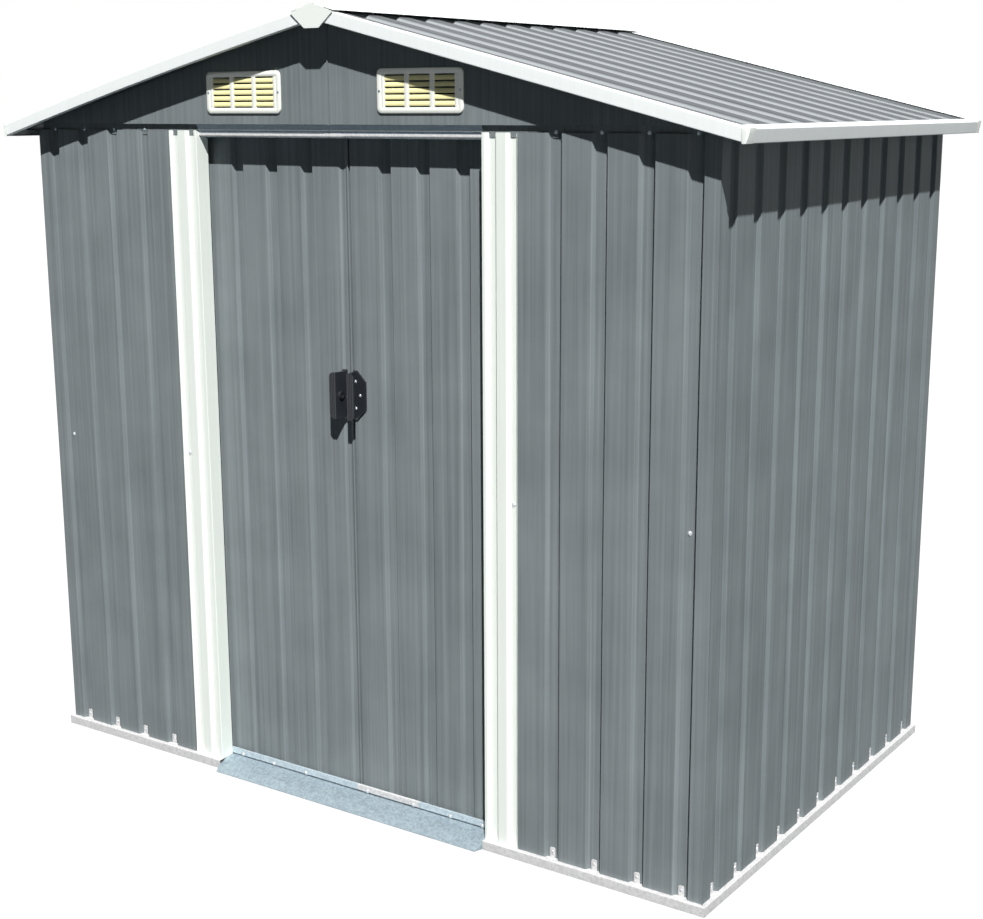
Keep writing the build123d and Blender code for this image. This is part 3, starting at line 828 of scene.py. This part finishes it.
@dataclass
class Trims:
    """The white trims: verges along the gables, eaves along the sides and a cap over the ridge."""

    bend: float = 2.2 * MM
    front_left_bow: float = 7 * MM
    eave_drop: float = 5 * MM
    eave_tuck: float = 6.5 * MM
    cap_verge_leg: float = 15 * MM
    cap_eave_leg: float = 28 * MM
    cap_flat: tuple[float, float] = (1.2 * MM, 5.5 * MM)
    cap_gauge: float = 1.6 * MM
    cap_sharp: float = 20
    ridge_gap: float = 4 * MM
    ridge_bend: float = 6 * MM

    def build(self, paints: Paints) -> None:
        """Make the trims."""
        self.verges(paints)
        self.eaves(paints)
        self.corners(paints)
        self.ridge(paints)

    def verges(self, paints: Paints) -> None:
        """Channels that wrap the roof's sloping edges, the front left one bowed up a little."""
        s = SIZES
        length = (s.eave_plane - s.verge_top * np.sin(s.roof_angle) - s.verge_start) / np.cos(s.roof_angle)
        bottom = s.verge_top - s.verge_height
        for end, end_name in ((-1, "front"), (1, "back")):
            for side, side_name in ((-1, "left"), (1, "right")):
                hand = side * end
                name = f"{end_name}_{side_name}_verge"
                path = [
                    (hand * (s.verge_plane - s.verge_bottom_flange), bottom),
                    (hand * s.verge_plane, bottom),
                    (hand * s.verge_plane, s.verge_top),
                    (hand * (s.verge_plane - s.verge_top_flange), s.verge_top),
                ]
                FoldedSheet(
                    f"{name}_folded", roof_plane(side, s.verge_start), path, 0, length, s.trim,
                    on_left=hand > 0, bend=self.bend, rows=16,
                    bow=self.front_left_bow if name == "front_left_verge" else 0, nodes=(name,),
                ).build(paints.trim, Slot.WHITE)

    def eave_top(self) -> float:
        """Height of the eave trims' upper corner."""
        s = SIZES
        return s.roof_level(s.eave_plane, s.rib_height) + s.seat + s.trim / np.cos(s.roof_angle)

    def eaves(self, paints: Paints) -> None:
        """Channels along the sides, tucked in at the foot, between the verges."""
        s = SIZES
        out = s.half_width - s.eave_plane
        foot = out + self.eave_tuck
        top = self.eave_top()
        bottom = top - s.eave_fascia - self.eave_drop
        half = s.verge_plane - s.verge_top_flange - s.seat
        path = [
            (foot + s.eave_bottom_flange, bottom),
            (foot, bottom),
            (out, top),
            (out + s.eave_top_flange, top + s.eave_top_flange * np.tan(s.roof_angle)),
        ]
        for face, side_name, nodes in ((RIGHT, "right", ("eave_trims",)), (LEFT, "left", ())):
            FoldedSheet(
                f"{side_name}_eave_folded", face.section(0), path, -half, half, s.trim,
                on_left=False, bend=self.bend, rows=8, nodes=nodes,
            ).build(paints.trim, Slot.WHITE)

    def corners(self, paints: Paints) -> None:
        """Caps over the eaves' ends: an L in plan, ruled from foot to top, its flat wider at the top."""
        s = SIZES
        share = np.linspace(0, 1, 4)[:, None]
        flat = self.cap_flat[0] + (self.cap_flat[1] - self.cap_flat[0]) * share
        whole = np.ones_like(flat)
        tuck = self.eave_tuck * (1 - share)
        across = np.hstack([whole * self.cap_verge_leg, flat + tuck, tuck, tuck])
        along = np.hstack([0 * whole, 0 * whole, flat, whole * self.cap_eave_leg])
        low = self.eave_top() - s.eave_fascia - self.eave_drop
        height = np.broadcast_to(low + (s.eave_fascia + self.eave_drop + s.trim) * share, across.shape)
        out, end = s.eave_plane + self.cap_gauge, s.verge_plane + self.cap_gauge
        corner = np.stack([out - across, end - along, height], -1)
        turned = corner[:, ::-1]
        copies = np.stack([corner, turned * (-1, 1, 1), corner * (-1, -1, 1), turned * (1, -1, 1)])
        made = mesh_of("eave_corner_caps_folded", copies)
        made.data.set_sharp_from_angle(angle=np.radians(self.cap_sharp))
        thicken(made, self.cap_gauge / 2, False)
        finished(made, paints.cap, Body.SHELL, ("eave_corner_caps",))

    def ridge(self, paints: Paints) -> None:
        """The cap over the ridge, with a narrow flat crown."""
        s = SIZES
        edge = s.roof_level(s.ridge_cap_half, s.verge_top) + s.seat + s.trim + self.ridge_gap
        top = edge + s.ridge_cap_rise - self.ridge_gap
        half, crown = s.ridge_cap_half, s.ridge_cap_crown
        back = Plane((0, s.verge_plane, 0), (1, 0, 0), (0, 0, 1))
        path = [(-half, edge), (-crown, top), (crown, top), (half, edge)]
        FoldedSheet(
            "ridge_cap_folded", back, path, 0, 2 * s.verge_plane, s.trim,
            on_left=False, bend=self.ridge_bend, rows=8, nodes=("ridge_cap",),
        ).build(paints.trim, Slot.WHITE)


@dataclass
class BaseRails:
    """The galvanised channels under the walls, with tabs that stand in the walls' grooves."""

    bend: float = 1.8 * MM
    mitre_gap: float = 0.4 * MM
    tab_corner: float = 4 * MM

    def build(self, paints: Paints) -> None:
        """Make the five channels, mitred at the shed's corners, and the tabs of each."""
        s = SIZES
        path = [
            (-s.lip, 0.0),
            (-s.lip, s.ledge),
            (s.rail_depth, s.ledge),
            (s.rail_depth, s.rail),
            (s.rail_depth + s.rail_foot, s.rail),
        ]
        wide = s.half_width - self.mitre_gap
        deep = s.half_depth - self.mitre_gap
        front_left = s.front_grooves(-s.half_width, -s.jamb_outer)
        whole = s.front_grooves(-s.half_width, s.half_width)
        for name, face, start, end, mitres, grooves in (
            ("base_rail_front_left", FRONT, -wide, -s.door_half, (1, 0), front_left),
            ("base_rail_front_right", FRONT, s.door_half, wide, (0, -1), -front_left),
            ("base_rail_back", BACK, -wide, wide, (1, -1), whole),
            ("base_rail_left", LEFT, -deep, deep, (1, -1), s.side_grooves()),
            ("base_rail_right", RIGHT, -deep, deep, (1, -1), s.side_grooves()),
        ):
            FoldedSheet(
                f"{name}_folded", face.section(0), path, start, end, s.rail,
                on_left=False, bend=self.bend, mitres=mitres, nodes=(name,),
            ).build(paints.pale, Slot.ZINC)
            self.tabs(f"{name}_tabs", face, grooves, paints)

    def tabs(self, name: str, face: Plane, places: np.ndarray, paints: Paints) -> None:
        """Strips that stand in the grooves: their half width falls in a quarter circle at the top."""
        s = SIZES
        shoulder = s.tab_top - self.tab_corner
        bend = self.tab_corner * np.sin(np.linspace(0, np.pi / 2, 7))
        height = np.concatenate([np.linspace(s.ledge, shoulder, 4)[:-1], shoulder + bend])
        rise = np.clip((height - shoulder) / self.tab_corner, 0, 1)
        half = s.tab_width / 2 - self.tab_corner * (1 - np.sqrt(1 - rise**2))
        share = np.linspace(-1, 1, 5)[:, None]
        along = places[:, None, None] + share * half
        made = mesh_of(name, face.outside(along, height, s.rail + s.seat - s.groove_depth))
        thicken(made, s.rail, True)
        finished(made, paints.pale, Body.SHELL)


@dataclass
class Doorway:
    """What lies across the doorway: a header with two lapped hems, a splice on the threshold, and the ramp.

    The header's outlines are in millimetres: how far inward, and how high above the track's underside.
    """

    header: tuple[tuple[float, float], ...] = ((1, 30), (6, 20), (9.5, 13.5), (10.5, 9.5))
    hem: tuple[tuple[float, float], ...] = ((10.3, 9.8), (10, 4.5), (11.5, 2.5), (23, 2.5))
    hem_lap: tuple[float, float] = (-25 * MM, 30 * MM)
    threshold_splice: tuple[float, float] = (5 * MM, 190 * MM)
    lap: float = 0.8 * MM
    hem_bend: float = 6 * MM
    splice_bend: float = 1.5 * MM
    toe: float = 2.5 * MM
    ramp_bend: float = 5 * MM
    end_round: float = 10 * MM
    convex: tuple[tuple[float, float], ...] = ((0.3, 0.47), (0.66, 0.84))

    def build(self, paints: Paints) -> None:
        """Make the header, its hems, the splice and the ramp."""
        s = SIZES
        across = FRONT.section(0)
        gauge = self.lap / 2
        half = s.door_half - s.seat
        lip = s.trough_front - s.threshold_reach - self.lap
        top = s.trough_height + self.lap
        for name, outline, lap, start, end, material in (
            ("header_front", self.header, 0, -half, half, paints.header),
            ("header_hem_left", self.hem, self.lap, -half, self.hem_lap[1], paints.pale),
            ("header_hem_right", self.hem, 0, self.hem_lap[0], half, paints.pale),
        ):
            path = [(inward * MM - lap, s.track_bottom + up * MM - lap) for inward, up in outline]
            sheet = FoldedSheet(name, across, path, start, end, gauge, bend=self.hem_bend)
            sheet.build(material, Slot.ZINC)
        path = [(lip, top - s.threshold_drop), (lip, top), (s.trough_front, top)]
        start, end = self.threshold_splice
        splice = FoldedSheet("threshold_splice", across, path, start, end, gauge, on_left=False)
        splice.bend = self.splice_bend
        splice.build(paints.pale, Slot.ZINC)
        self.ramp(paints)

    def ramp(self, paints: Paints) -> None:
        """A convex profile carried along the doorway.

        Its ends are drawn in at the toe in a quarter circle. A last row at each end is the profile let down
        to the ground, which closes the end.
        """
        s = SIZES
        back = s.trough_front - s.seat
        deep = back + s.sill_reach
        toe = self.toe
        swell = [(deep * across - s.sill_reach, toe + (s.sill_top - toe) * up) for across, up in self.convex]
        path = [
            (-s.sill_reach, s.rail),
            (-s.sill_reach, toe),
            *swell,
            (back, s.sill_top),
            (back, s.sill_top - s.sill_hem),
        ]
        profile = rounded(path, self.ramp_bend)
        near = np.clip(1 - (profile[:, 0] + s.sill_reach) / self.end_round, 0, 1)
        half = s.door_half - s.seat - self.end_round * (1 - np.sqrt(1 - near**2))
        run = np.linspace(-1, 1, 25)[:, None] * half
        points = FRONT.section(0).place(profile, run)
        ends = points[[0, -1]] * np.array([1, 1, 0]) + np.array([0, 0, s.rail])
        made = mesh_of("door_sill_ramp", np.concatenate([ends[:1], points, ends[1:]]))
        thicken(made, s.rail, False)
        finished(made, paints.zinc, Body.SHELL, ("door_sill",))


@dataclass
class Vents:
    """The louvred vents: a rounded frame with four bars, and slanted blades behind them.

    Profiles are in millimetres, the second number being the distance out of the gable. The first is how far
    past the frame's edge for the rim, a share of the bar's half width, and the height for a blade.
    """

    rim: tuple[tuple[float, float], ...] = (
        (0, 0), (0, 2.4), (-1.2, 3.4), (-11.6, 3.4), (-12.3, 2.8), (-12.5, 0.2)
    )
    bar: tuple[tuple[float, float], ...] = (
        (-1, 0.2), (-1, 2.6), (-0.86, 3.2), (0.86, 3.2), (1, 2.6), (1, 0.2)
    )
    blade: tuple[tuple[float, float], ...] = ((4.9, 0.2), (4.0, 1.6), (-3.7, 3.0), (-4.9, 2.4), (-4.3, 0.6))
    bars: tuple[float, ...] = (-95.5, -33, 33, 95.5)
    bar_halves: tuple[float, ...] = (4.5, 6.2, 6.2, 4.5)
    blades: int = 5
    blade_pitch: float = 13 * MM
    inner_corner: float = 1.5 * MM
    corner_points: int = 7

    def build(self, paints: Paints) -> None:
        """Make the front and back pairs."""
        for face, name in ((FRONT, "front_vents"), (BACK, "back_vents")):
            self.frames(name, face, paints)
            self.grilles(name, face, paints)

    def places(self) -> np.ndarray:
        """Middles of the two vents along a gable, shaped to copy a grid."""
        return np.array([-SIZES.vent_place, SIZES.vent_place])[:, None, None]

    def frames(self, name: str, face: Plane, paints: Paints) -> None:
        """Carry the rim's profile round a rectangle with round corners, each corner a quarter circle."""
        s = SIZES
        inset, out = np.array(self.rim).T[:, :, None] * MM
        quarter = np.repeat(np.arange(4), self.corner_points) * np.pi / 2
        angle = quarter + np.tile(np.linspace(0, np.pi / 2, self.corner_points), 4)
        sign_x, sign_y = np.sign(np.cos(quarter + np.pi / 4)), np.sign(np.sin(quarter + np.pi / 4))
        radius = np.maximum(s.vent_corner + inset, self.inner_corner)
        along = sign_x * (s.vent_width / 2 + inset - radius) + radius * np.cos(angle)
        height = sign_y * (s.vent_height / 2 + inset - radius) + radius * np.sin(angle)
        points = face.outside(self.places() + along, s.vent_middle + height, s.seat + out)
        made = mesh_of(f"{name}_frames", points, (False, True))
        finished(made, paints.vent, Body.SHELL, (name,))

    def grilles(self, name: str, face: Plane, paints: Paints) -> None:
        """Carry the bars' profile upright, and the blades' closed profile along each vent."""
        s = SIZES
        margin = self.rim[-2][0] * MM
        across, out = np.array(self.bar).T * np.array([[1], [MM]])
        reach = np.array([-1, 1])[:, None] * (s.vent_height / 2 + margin)
        middles, halves = np.array([self.bars, self.bar_halves])[..., None, None, None] * MM
        along = np.broadcast_to(self.places() + middles + halves * across, (len(self.bars), 2, 1, len(out)))
        bars = face.outside(along.reshape(-1, 1, len(out)), s.vent_middle + reach, s.seat + out)
        finished(mesh_of(f"{name}_bars", bars), paints.vent, Body.SHELL)
        up, out = np.array(self.blade).T * MM
        width = np.array([-1, 1])[:, None] * (s.vent_width / 2 + margin)
        rows = (np.arange(self.blades) - (self.blades - 1) / 2)[:, None, None, None] * self.blade_pitch
        heights = np.broadcast_to(s.vent_middle + rows + up, (self.blades, 2, 2, len(up)))
        heights = heights.reshape(-1, 2, len(up))
        along = np.broadcast_to(self.places() + width, (self.blades, 2, 2, 1)).reshape(-1, 2, 1)
        blades = face.outside(along, heights, s.seat + out)
        finished(mesh_of(f"{name}_blades", blades, (False, True)), paints.ivory, Body.SHELL)


@dataclass
class Gables:
    """A narrow standing fold at the joint of each pair of gable sheets."""

    half: float = 1.4 * MM
    stand: float = 2.2 * MM
    foot: float = 1583 * MM
    top_gap: float = 3 * MM
    bend: float = 0.5 * MM

    def build(self, paints: Paints) -> None:
        """Make the front and back folds."""
        s = SIZES
        top = s.roof_level(self.half) - self.top_gap
        half, stand = self.half, self.stand
        path = [(-half, -s.seat), (-half, -stand), (half, -stand), (half, -s.seat)]
        for face, name in ((FRONT, "front"), (BACK, "back")):
            fold = FoldedSheet(f"{name}_gable_fold", face, path, self.foot, top, s.sheet / 2, bend=self.bend)
            fold.build(paints.wall, Slot.WALL)


@dataclass
class Screws:
    """Pan-head screws with a washer.

    Each is a profile, in millimetres, turned about the screw's axis: a rim, a washer, a domed head and a
    recess. The recess is wider in four directions a right angle apart, so it shows as a cross.
    """

    radii: tuple[float, ...] = (6.2, 6.2, 5.8, 4.3, 4.3, 3.6, 2.4, 2.0, 0.6)
    heights: tuple[float, ...] = (0, 0.6, 0.9, 0.9, 2.0, 2.9, 3.3, 2.4, 2.2)
    recess_rows: int = 3
    recess_waist: float = 0.45
    turns: int = 24

    def build(
        self,
        name: str,
        body: Body,
        material: bpy.types.Material,
        places: np.ndarray,
        outward: np.ndarray,
        scale: float = 1.0,
    ) -> bpy.types.Object:
        """Set a screw at each place.

        Args:
            name: The piece's name.
            body: The body that the screws ride on.
            material: Their material.
            places: Seats (screws, 3) of the washers.
            outward: Unit normals (screws, 3) of the surfaces there.
            scale: Size against the screw's own.

        Returns:
            All the screws as one piece.
        """
        angle = np.linspace(0, 2 * np.pi, self.turns, endpoint=False)[None]
        radius = np.array(self.radii)[:, None] * np.ones_like(angle)
        waist = self.recess_waist
        radius[-self.recess_rows :] *= waist + (1 - waist) * np.abs(np.cos(2 * angle)) ** 3
        radius *= MM * scale
        height = np.array(self.heights)[:, None] * MM * scale * np.ones_like(angle)
        normal = np.asarray(outward, float)
        upright = np.where(np.abs(normal[:, 2:]) > 0.7, np.array([[1.0, 0, 0]]), np.array([[0, 0, 1.0]]))
        sideways = np.cross(upright, normal)
        sideways /= np.linalg.norm(sideways, axis=1, keepdims=True)
        other = np.cross(normal, sideways)
        points = (
            np.asarray(places, float)[:, None, None]
            + (radius * np.cos(angle))[None, ..., None] * sideways[:, None, None]
            + (radius * np.sin(angle))[None, ..., None] * other[:, None, None]
            + height[None, ..., None] * normal[:, None, None]
        )
        return finished(mesh_of(name, points, (False, True)), material, body)


@dataclass
class PhotoCamera:
    """The camera at the photograph's viewing angle."""

    position: tuple[float, float, float] = (2.314, -3.324, 1.623)
    forward: tuple[float, float, float] = (-0.5559, 0.8031, -0.2146)
    right: tuple[float, float, float] = (0.8227, 0.5684, -0.0041)
    focal_pixels: float = 1608.8
    image_width: int = 983

    def build(self) -> bpy.types.Object:
        """Make the camera and set it as the scene's."""
        camera = bpy.data.cameras.new("photo_camera")
        camera.lens = camera.sensor_width * self.focal_pixels / self.image_width
        camera.clip_end = 100
        holder = bpy.data.objects.new("photo_camera", camera)
        bpy.context.scene.collection.objects.link(holder)
        ahead = Vector(self.forward).normalized()
        across = (Vector(self.right) - ahead * ahead.dot(Vector(self.right))).normalized()
        turn = Matrix((across, across.cross(ahead), -ahead)).transposed()
        holder.matrix_world = Matrix.Translation(self.position) @ turn.to_4x4()
        bpy.context.scene.camera = holder
        return holder


@dataclass
class Lamp:
    """One far lamp: the way its light travels, its strength, its width in degrees and if gloss shows it."""

    name: str
    way: tuple[float, float, float]
    strength: float
    angle: float
    in_gloss: bool = True

    def build(self) -> None:
        """Hang the lamp."""
        lamp = bpy.data.lights.new(self.name, "SUN")
        lamp.energy = self.strength
        lamp.angle = np.radians(self.angle)
        holder = bpy.data.objects.new(self.name, lamp)
        holder.rotation_mode = "QUATERNION"
        holder.rotation_quaternion = Vector(self.way).to_track_quat("-Z", "Y")
        holder.visible_glossy = self.in_gloss
        bpy.context.scene.collection.objects.link(holder)


@dataclass
class Studio:
    """Pale floor, white surround, a high key lamp, a soft panel by the front corner and a low back fill."""

    floor_half: float = 30.0
    floor_colour: str = "#f4f5f4"
    floor_glow: float = 0.8
    key: Lamp = field(default_factory=lambda: Lamp("key_lamp", (-0.395, 0.477, -0.785), 5.9, 1.0))
    back_fill: Lamp = field(
        default_factory=lambda: Lamp("back_fill_lamp", (0.52, -0.83, -0.15), 2.2, 60.0, in_gloss=False)
    )
    panel_place: tuple[float, float, float] = (2.7, -1.7, 1.0)
    panel_aim: tuple[float, float, float] = (0.945, -0.4, 0.8)
    panel_size: float = 1.2
    panel_power: float = 4.5
    fill_strength: float = 0.025
    fill_colour: str = "#c6dce8"
    bounce_share: float = 0.08

    def build(self) -> None:
        """Make the floor, the surround and the lamps."""
        self.floor()
        self.surround()
        self.key.build()
        self.back_fill.build()
        self.panel()

    def panel(self) -> None:
        """A soft square lamp near the front right corner, whose light falls off along the side."""
        lamp = bpy.data.lights.new("corner_panel", "AREA")
        lamp.energy = self.panel_power
        lamp.size = self.panel_size
        holder = bpy.data.objects.new("corner_panel", lamp)
        place = Vector(self.panel_place)
        turn = (Vector(self.panel_aim) - place).to_track_quat("-Z", "Y")
        holder.matrix_world = Matrix.Translation(place) @ turn.to_matrix().to_4x4()
        holder.visible_camera = False
        holder.visible_glossy = False
        bpy.context.scene.collection.objects.link(holder)

    def floor(self) -> None:
        """A flat square, pale to the eye and darker to the light that it throws back."""
        half = self.floor_half
        corners = [(-half, -half, 0), (half, -half, 0), (half, half, 0), (-half, half, 0)]
        mesh = bpy.data.meshes.new("studio_floor")
        mesh.from_pydata(corners, [], [(0, 1, 2, 3)])
        floor = bpy.data.objects.new("studio_floor", mesh)
        bpy.context.scene.collection.objects.link(floor)
        material = bpy.data.materials.new("matt_studio_paper")
        material.use_nodes = True
        tree = material.node_tree
        tree.nodes.clear()
        seen = self.seen(tree)
        paper = add(tree, "ShaderNodeBsdfDiffuse", {"Color": linear(self.floor_colour)})
        glow = add(tree, "ShaderNodeEmission", {"Color": (1, 1, 1, 1), "Strength": 1.0})
        mixed = {1: paper.outputs["BSDF"], 2: glow.outputs["Emission"]}
        shown = add(tree, "ShaderNodeMixShader", {"Fac": self.floor_glow}, mixed)
        bounce = [level * self.bounce_share for level in linear(self.fill_colour)[:3]]
        dim = add(tree, "ShaderNodeBsdfDiffuse", {"Color": (*bounce, 1)})
        chosen = {"Fac": seen, 1: dim.outputs["BSDF"], 2: shown.outputs["Shader"]}
        both = add(tree, "ShaderNodeMixShader", {}, chosen)
        add(tree, "ShaderNodeOutputMaterial", {}, {"Surface": both.outputs["Shader"]})
        mesh.materials.append(material)

    def seen(self, tree: bpy.types.NodeTree) -> bpy.types.NodeSocket:
        """One where the eye, a gloss or a glass looks, and zero for the light that surfaces throw about."""
        path = add(tree, "ShaderNodeLightPath")
        seen = path.outputs["Is Camera Ray"]
        for ray in ("Is Glossy Ray", "Is Transmission Ray"):
            either = add(tree, "ShaderNodeMath", {"operation": "MAXIMUM"}, {0: seen, 1: path.outputs[ray]})
            seen = either.outputs["Value"]
        return seen

    def surround(self) -> None:
        """White to the eye, and a soft even fill, a little blue, to the surfaces."""
        world = bpy.data.worlds.new("studio_surround")
        bpy.context.scene.world = world
        world.use_nodes = True
        tree = world.node_tree
        seen = self.seen(tree)
        levels = {"To Min": self.fill_strength, "To Max": 1.0}
        strength = add(tree, "ShaderNodeMapRange", levels, {"Value": seen})
        colours = {"data_type": "RGBA", 6: linear(self.fill_colour), 7: (1, 1, 1, 1)}
        colour = add(tree, "ShaderNodeMix", colours, {0: seen})
        back = tree.nodes["Background"]
        tree.links.new(colour.outputs[2], back.inputs["Color"])
        tree.links.new(strength.outputs["Result"], back.inputs["Strength"])


@dataclass
class Fixings:
    """The screws that show, in their groups. Lists of places are in millimetres; scales are of the screws."""

    tab_height: float = 37 * MM
    tooth_height: float = 1572 * MM
    mid_height: float = 800 * MM
    mid_places: tuple[float, ...] = (-892.5, -476, 476, 892.5)
    sill_places: tuple[float, ...] = (-364.5, -260.5, -155.8, 35.9, 173.4, 280.2, 369.8)
    sill_height: float = 31 * MM
    sill_inward: float = 36 * MM
    plate_inward: float = 45.7 * MM
    plate_places: tuple[tuple[float, float], ...] = ((16.5, 31), (29, 0), (16.5, -30))
    vent_reach: float = 105.2 * MM
    vent_out: float = 3.3 * MM
    wall_scale: float = 0.8
    head_scale: float = 0.6
    sill_scale: float = 0.9
    plate_scale: float = 0.65
    vent_scale: float = 0.5

    def group(
        self,
        name: str,
        face: Plane,
        seats: np.ndarray,
        material: bpy.types.Material,
        scale: float,
        body: Body = Body.SHELL,
    ) -> None:
        """Set a group of screws on a wall face."""
        outward = np.tile(-np.asarray(face.up, float), (len(seats), 1))
        Screws().build(name, body, material, seats, outward, scale)

    def build(self, paints: Paints) -> None:
        """Set every group of screws."""
        s = SIZES
        tab = s.rail + s.seat - s.groove_depth
        front_left = s.front_grooves(-s.half_width, -s.jamb_outer)
        for name, face, grooves in (
            ("front", FRONT, np.concatenate([front_left, -front_left])),
            ("back", BACK, s.front_grooves(-s.half_width, s.half_width)),
            ("left", LEFT, s.side_grooves()),
            ("right", RIGHT, s.side_grooves()),
        ):
            seats = face.outside(grooves, self.tab_height, tab)
            self.group(f"{name}_base_screws", face, seats, paints.bright, self.wall_scale)
            seats = face.outside(grooves, self.tooth_height, tab)
            self.group(f"{name}_head_screws", face, seats, paints.zinc, self.head_scale)
        seats = FRONT.outside(np.array(self.mid_places) * MM, self.mid_height, -s.groove_depth)
        self.group("front_middle_screws", FRONT, seats, paints.bright, self.wall_scale)
        seats = FRONT.outside(np.array(self.sill_places) * MM, self.sill_height, -self.sill_inward)
        self.group("threshold_screws", FRONT, seats, paints.bright, self.sill_scale)
        across, up = np.array(self.plate_places).T * MM
        for hand, name, body in ((-1, "left", Body.LEFT_DOOR), (1, "right", Body.RIGHT_DOOR)):
            seats = FRONT.outside(s.handle_middle + hand * across, s.handle_height + up, -self.plate_inward)
            self.group(f"{name}_handle_screws", FRONT, seats, paints.bright, self.plate_scale, body)
        ends = np.array([-1, 1]) * self.vent_reach
        along = np.concatenate([ends - s.vent_place, ends + s.vent_place])
        for name, face in (("front", FRONT), ("back", BACK)):
            seats = face.outside(along, s.vent_middle, s.seat + self.vent_out)
            self.group(f"{name}_vent_screws", face, seats, paints.zinc, self.vent_scale)


SOFT_EDGES = {
    "left_door_handle": 0.8 * MM,
    "right_door_handle": 0.8 * MM,
    "ridge_end_caps": 0.6 * MM,
    "left_door_runners": 0.6 * MM,
    "right_door_runners": 0.6 * MM,
}


def main() -> None:
    """Build the studio and every sub-assembly in order."""
    logging.basicConfig(level=logging.INFO, format="%(name)s: %(message)s")
    bpy.context.scene.view_settings.view_transform = "Standard"
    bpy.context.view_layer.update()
    PhotoCamera().build()
    Studio().build()
    paints = Paints.mixed()
    slots = {part["node"]: Slot(part["material_slot"]) for part in frame["record"]["subparts"]}
    for name, node in frame["nodes"].items():
        node.data.materials.clear()
        node.data.materials.append(paints.track if name == "bottom_track" else paints.of_slot(slots[name]))
    for name, width in SOFT_EDGES.items():
        soften(frame["nodes"][name], width)
    for assembly in (Walls, Jambs, Doors, BaseRails, Doorway, Gables, Vents, Roof, Trims, Fixings):
        assembly().build(paints)


if __name__ == "__main__":
    main()
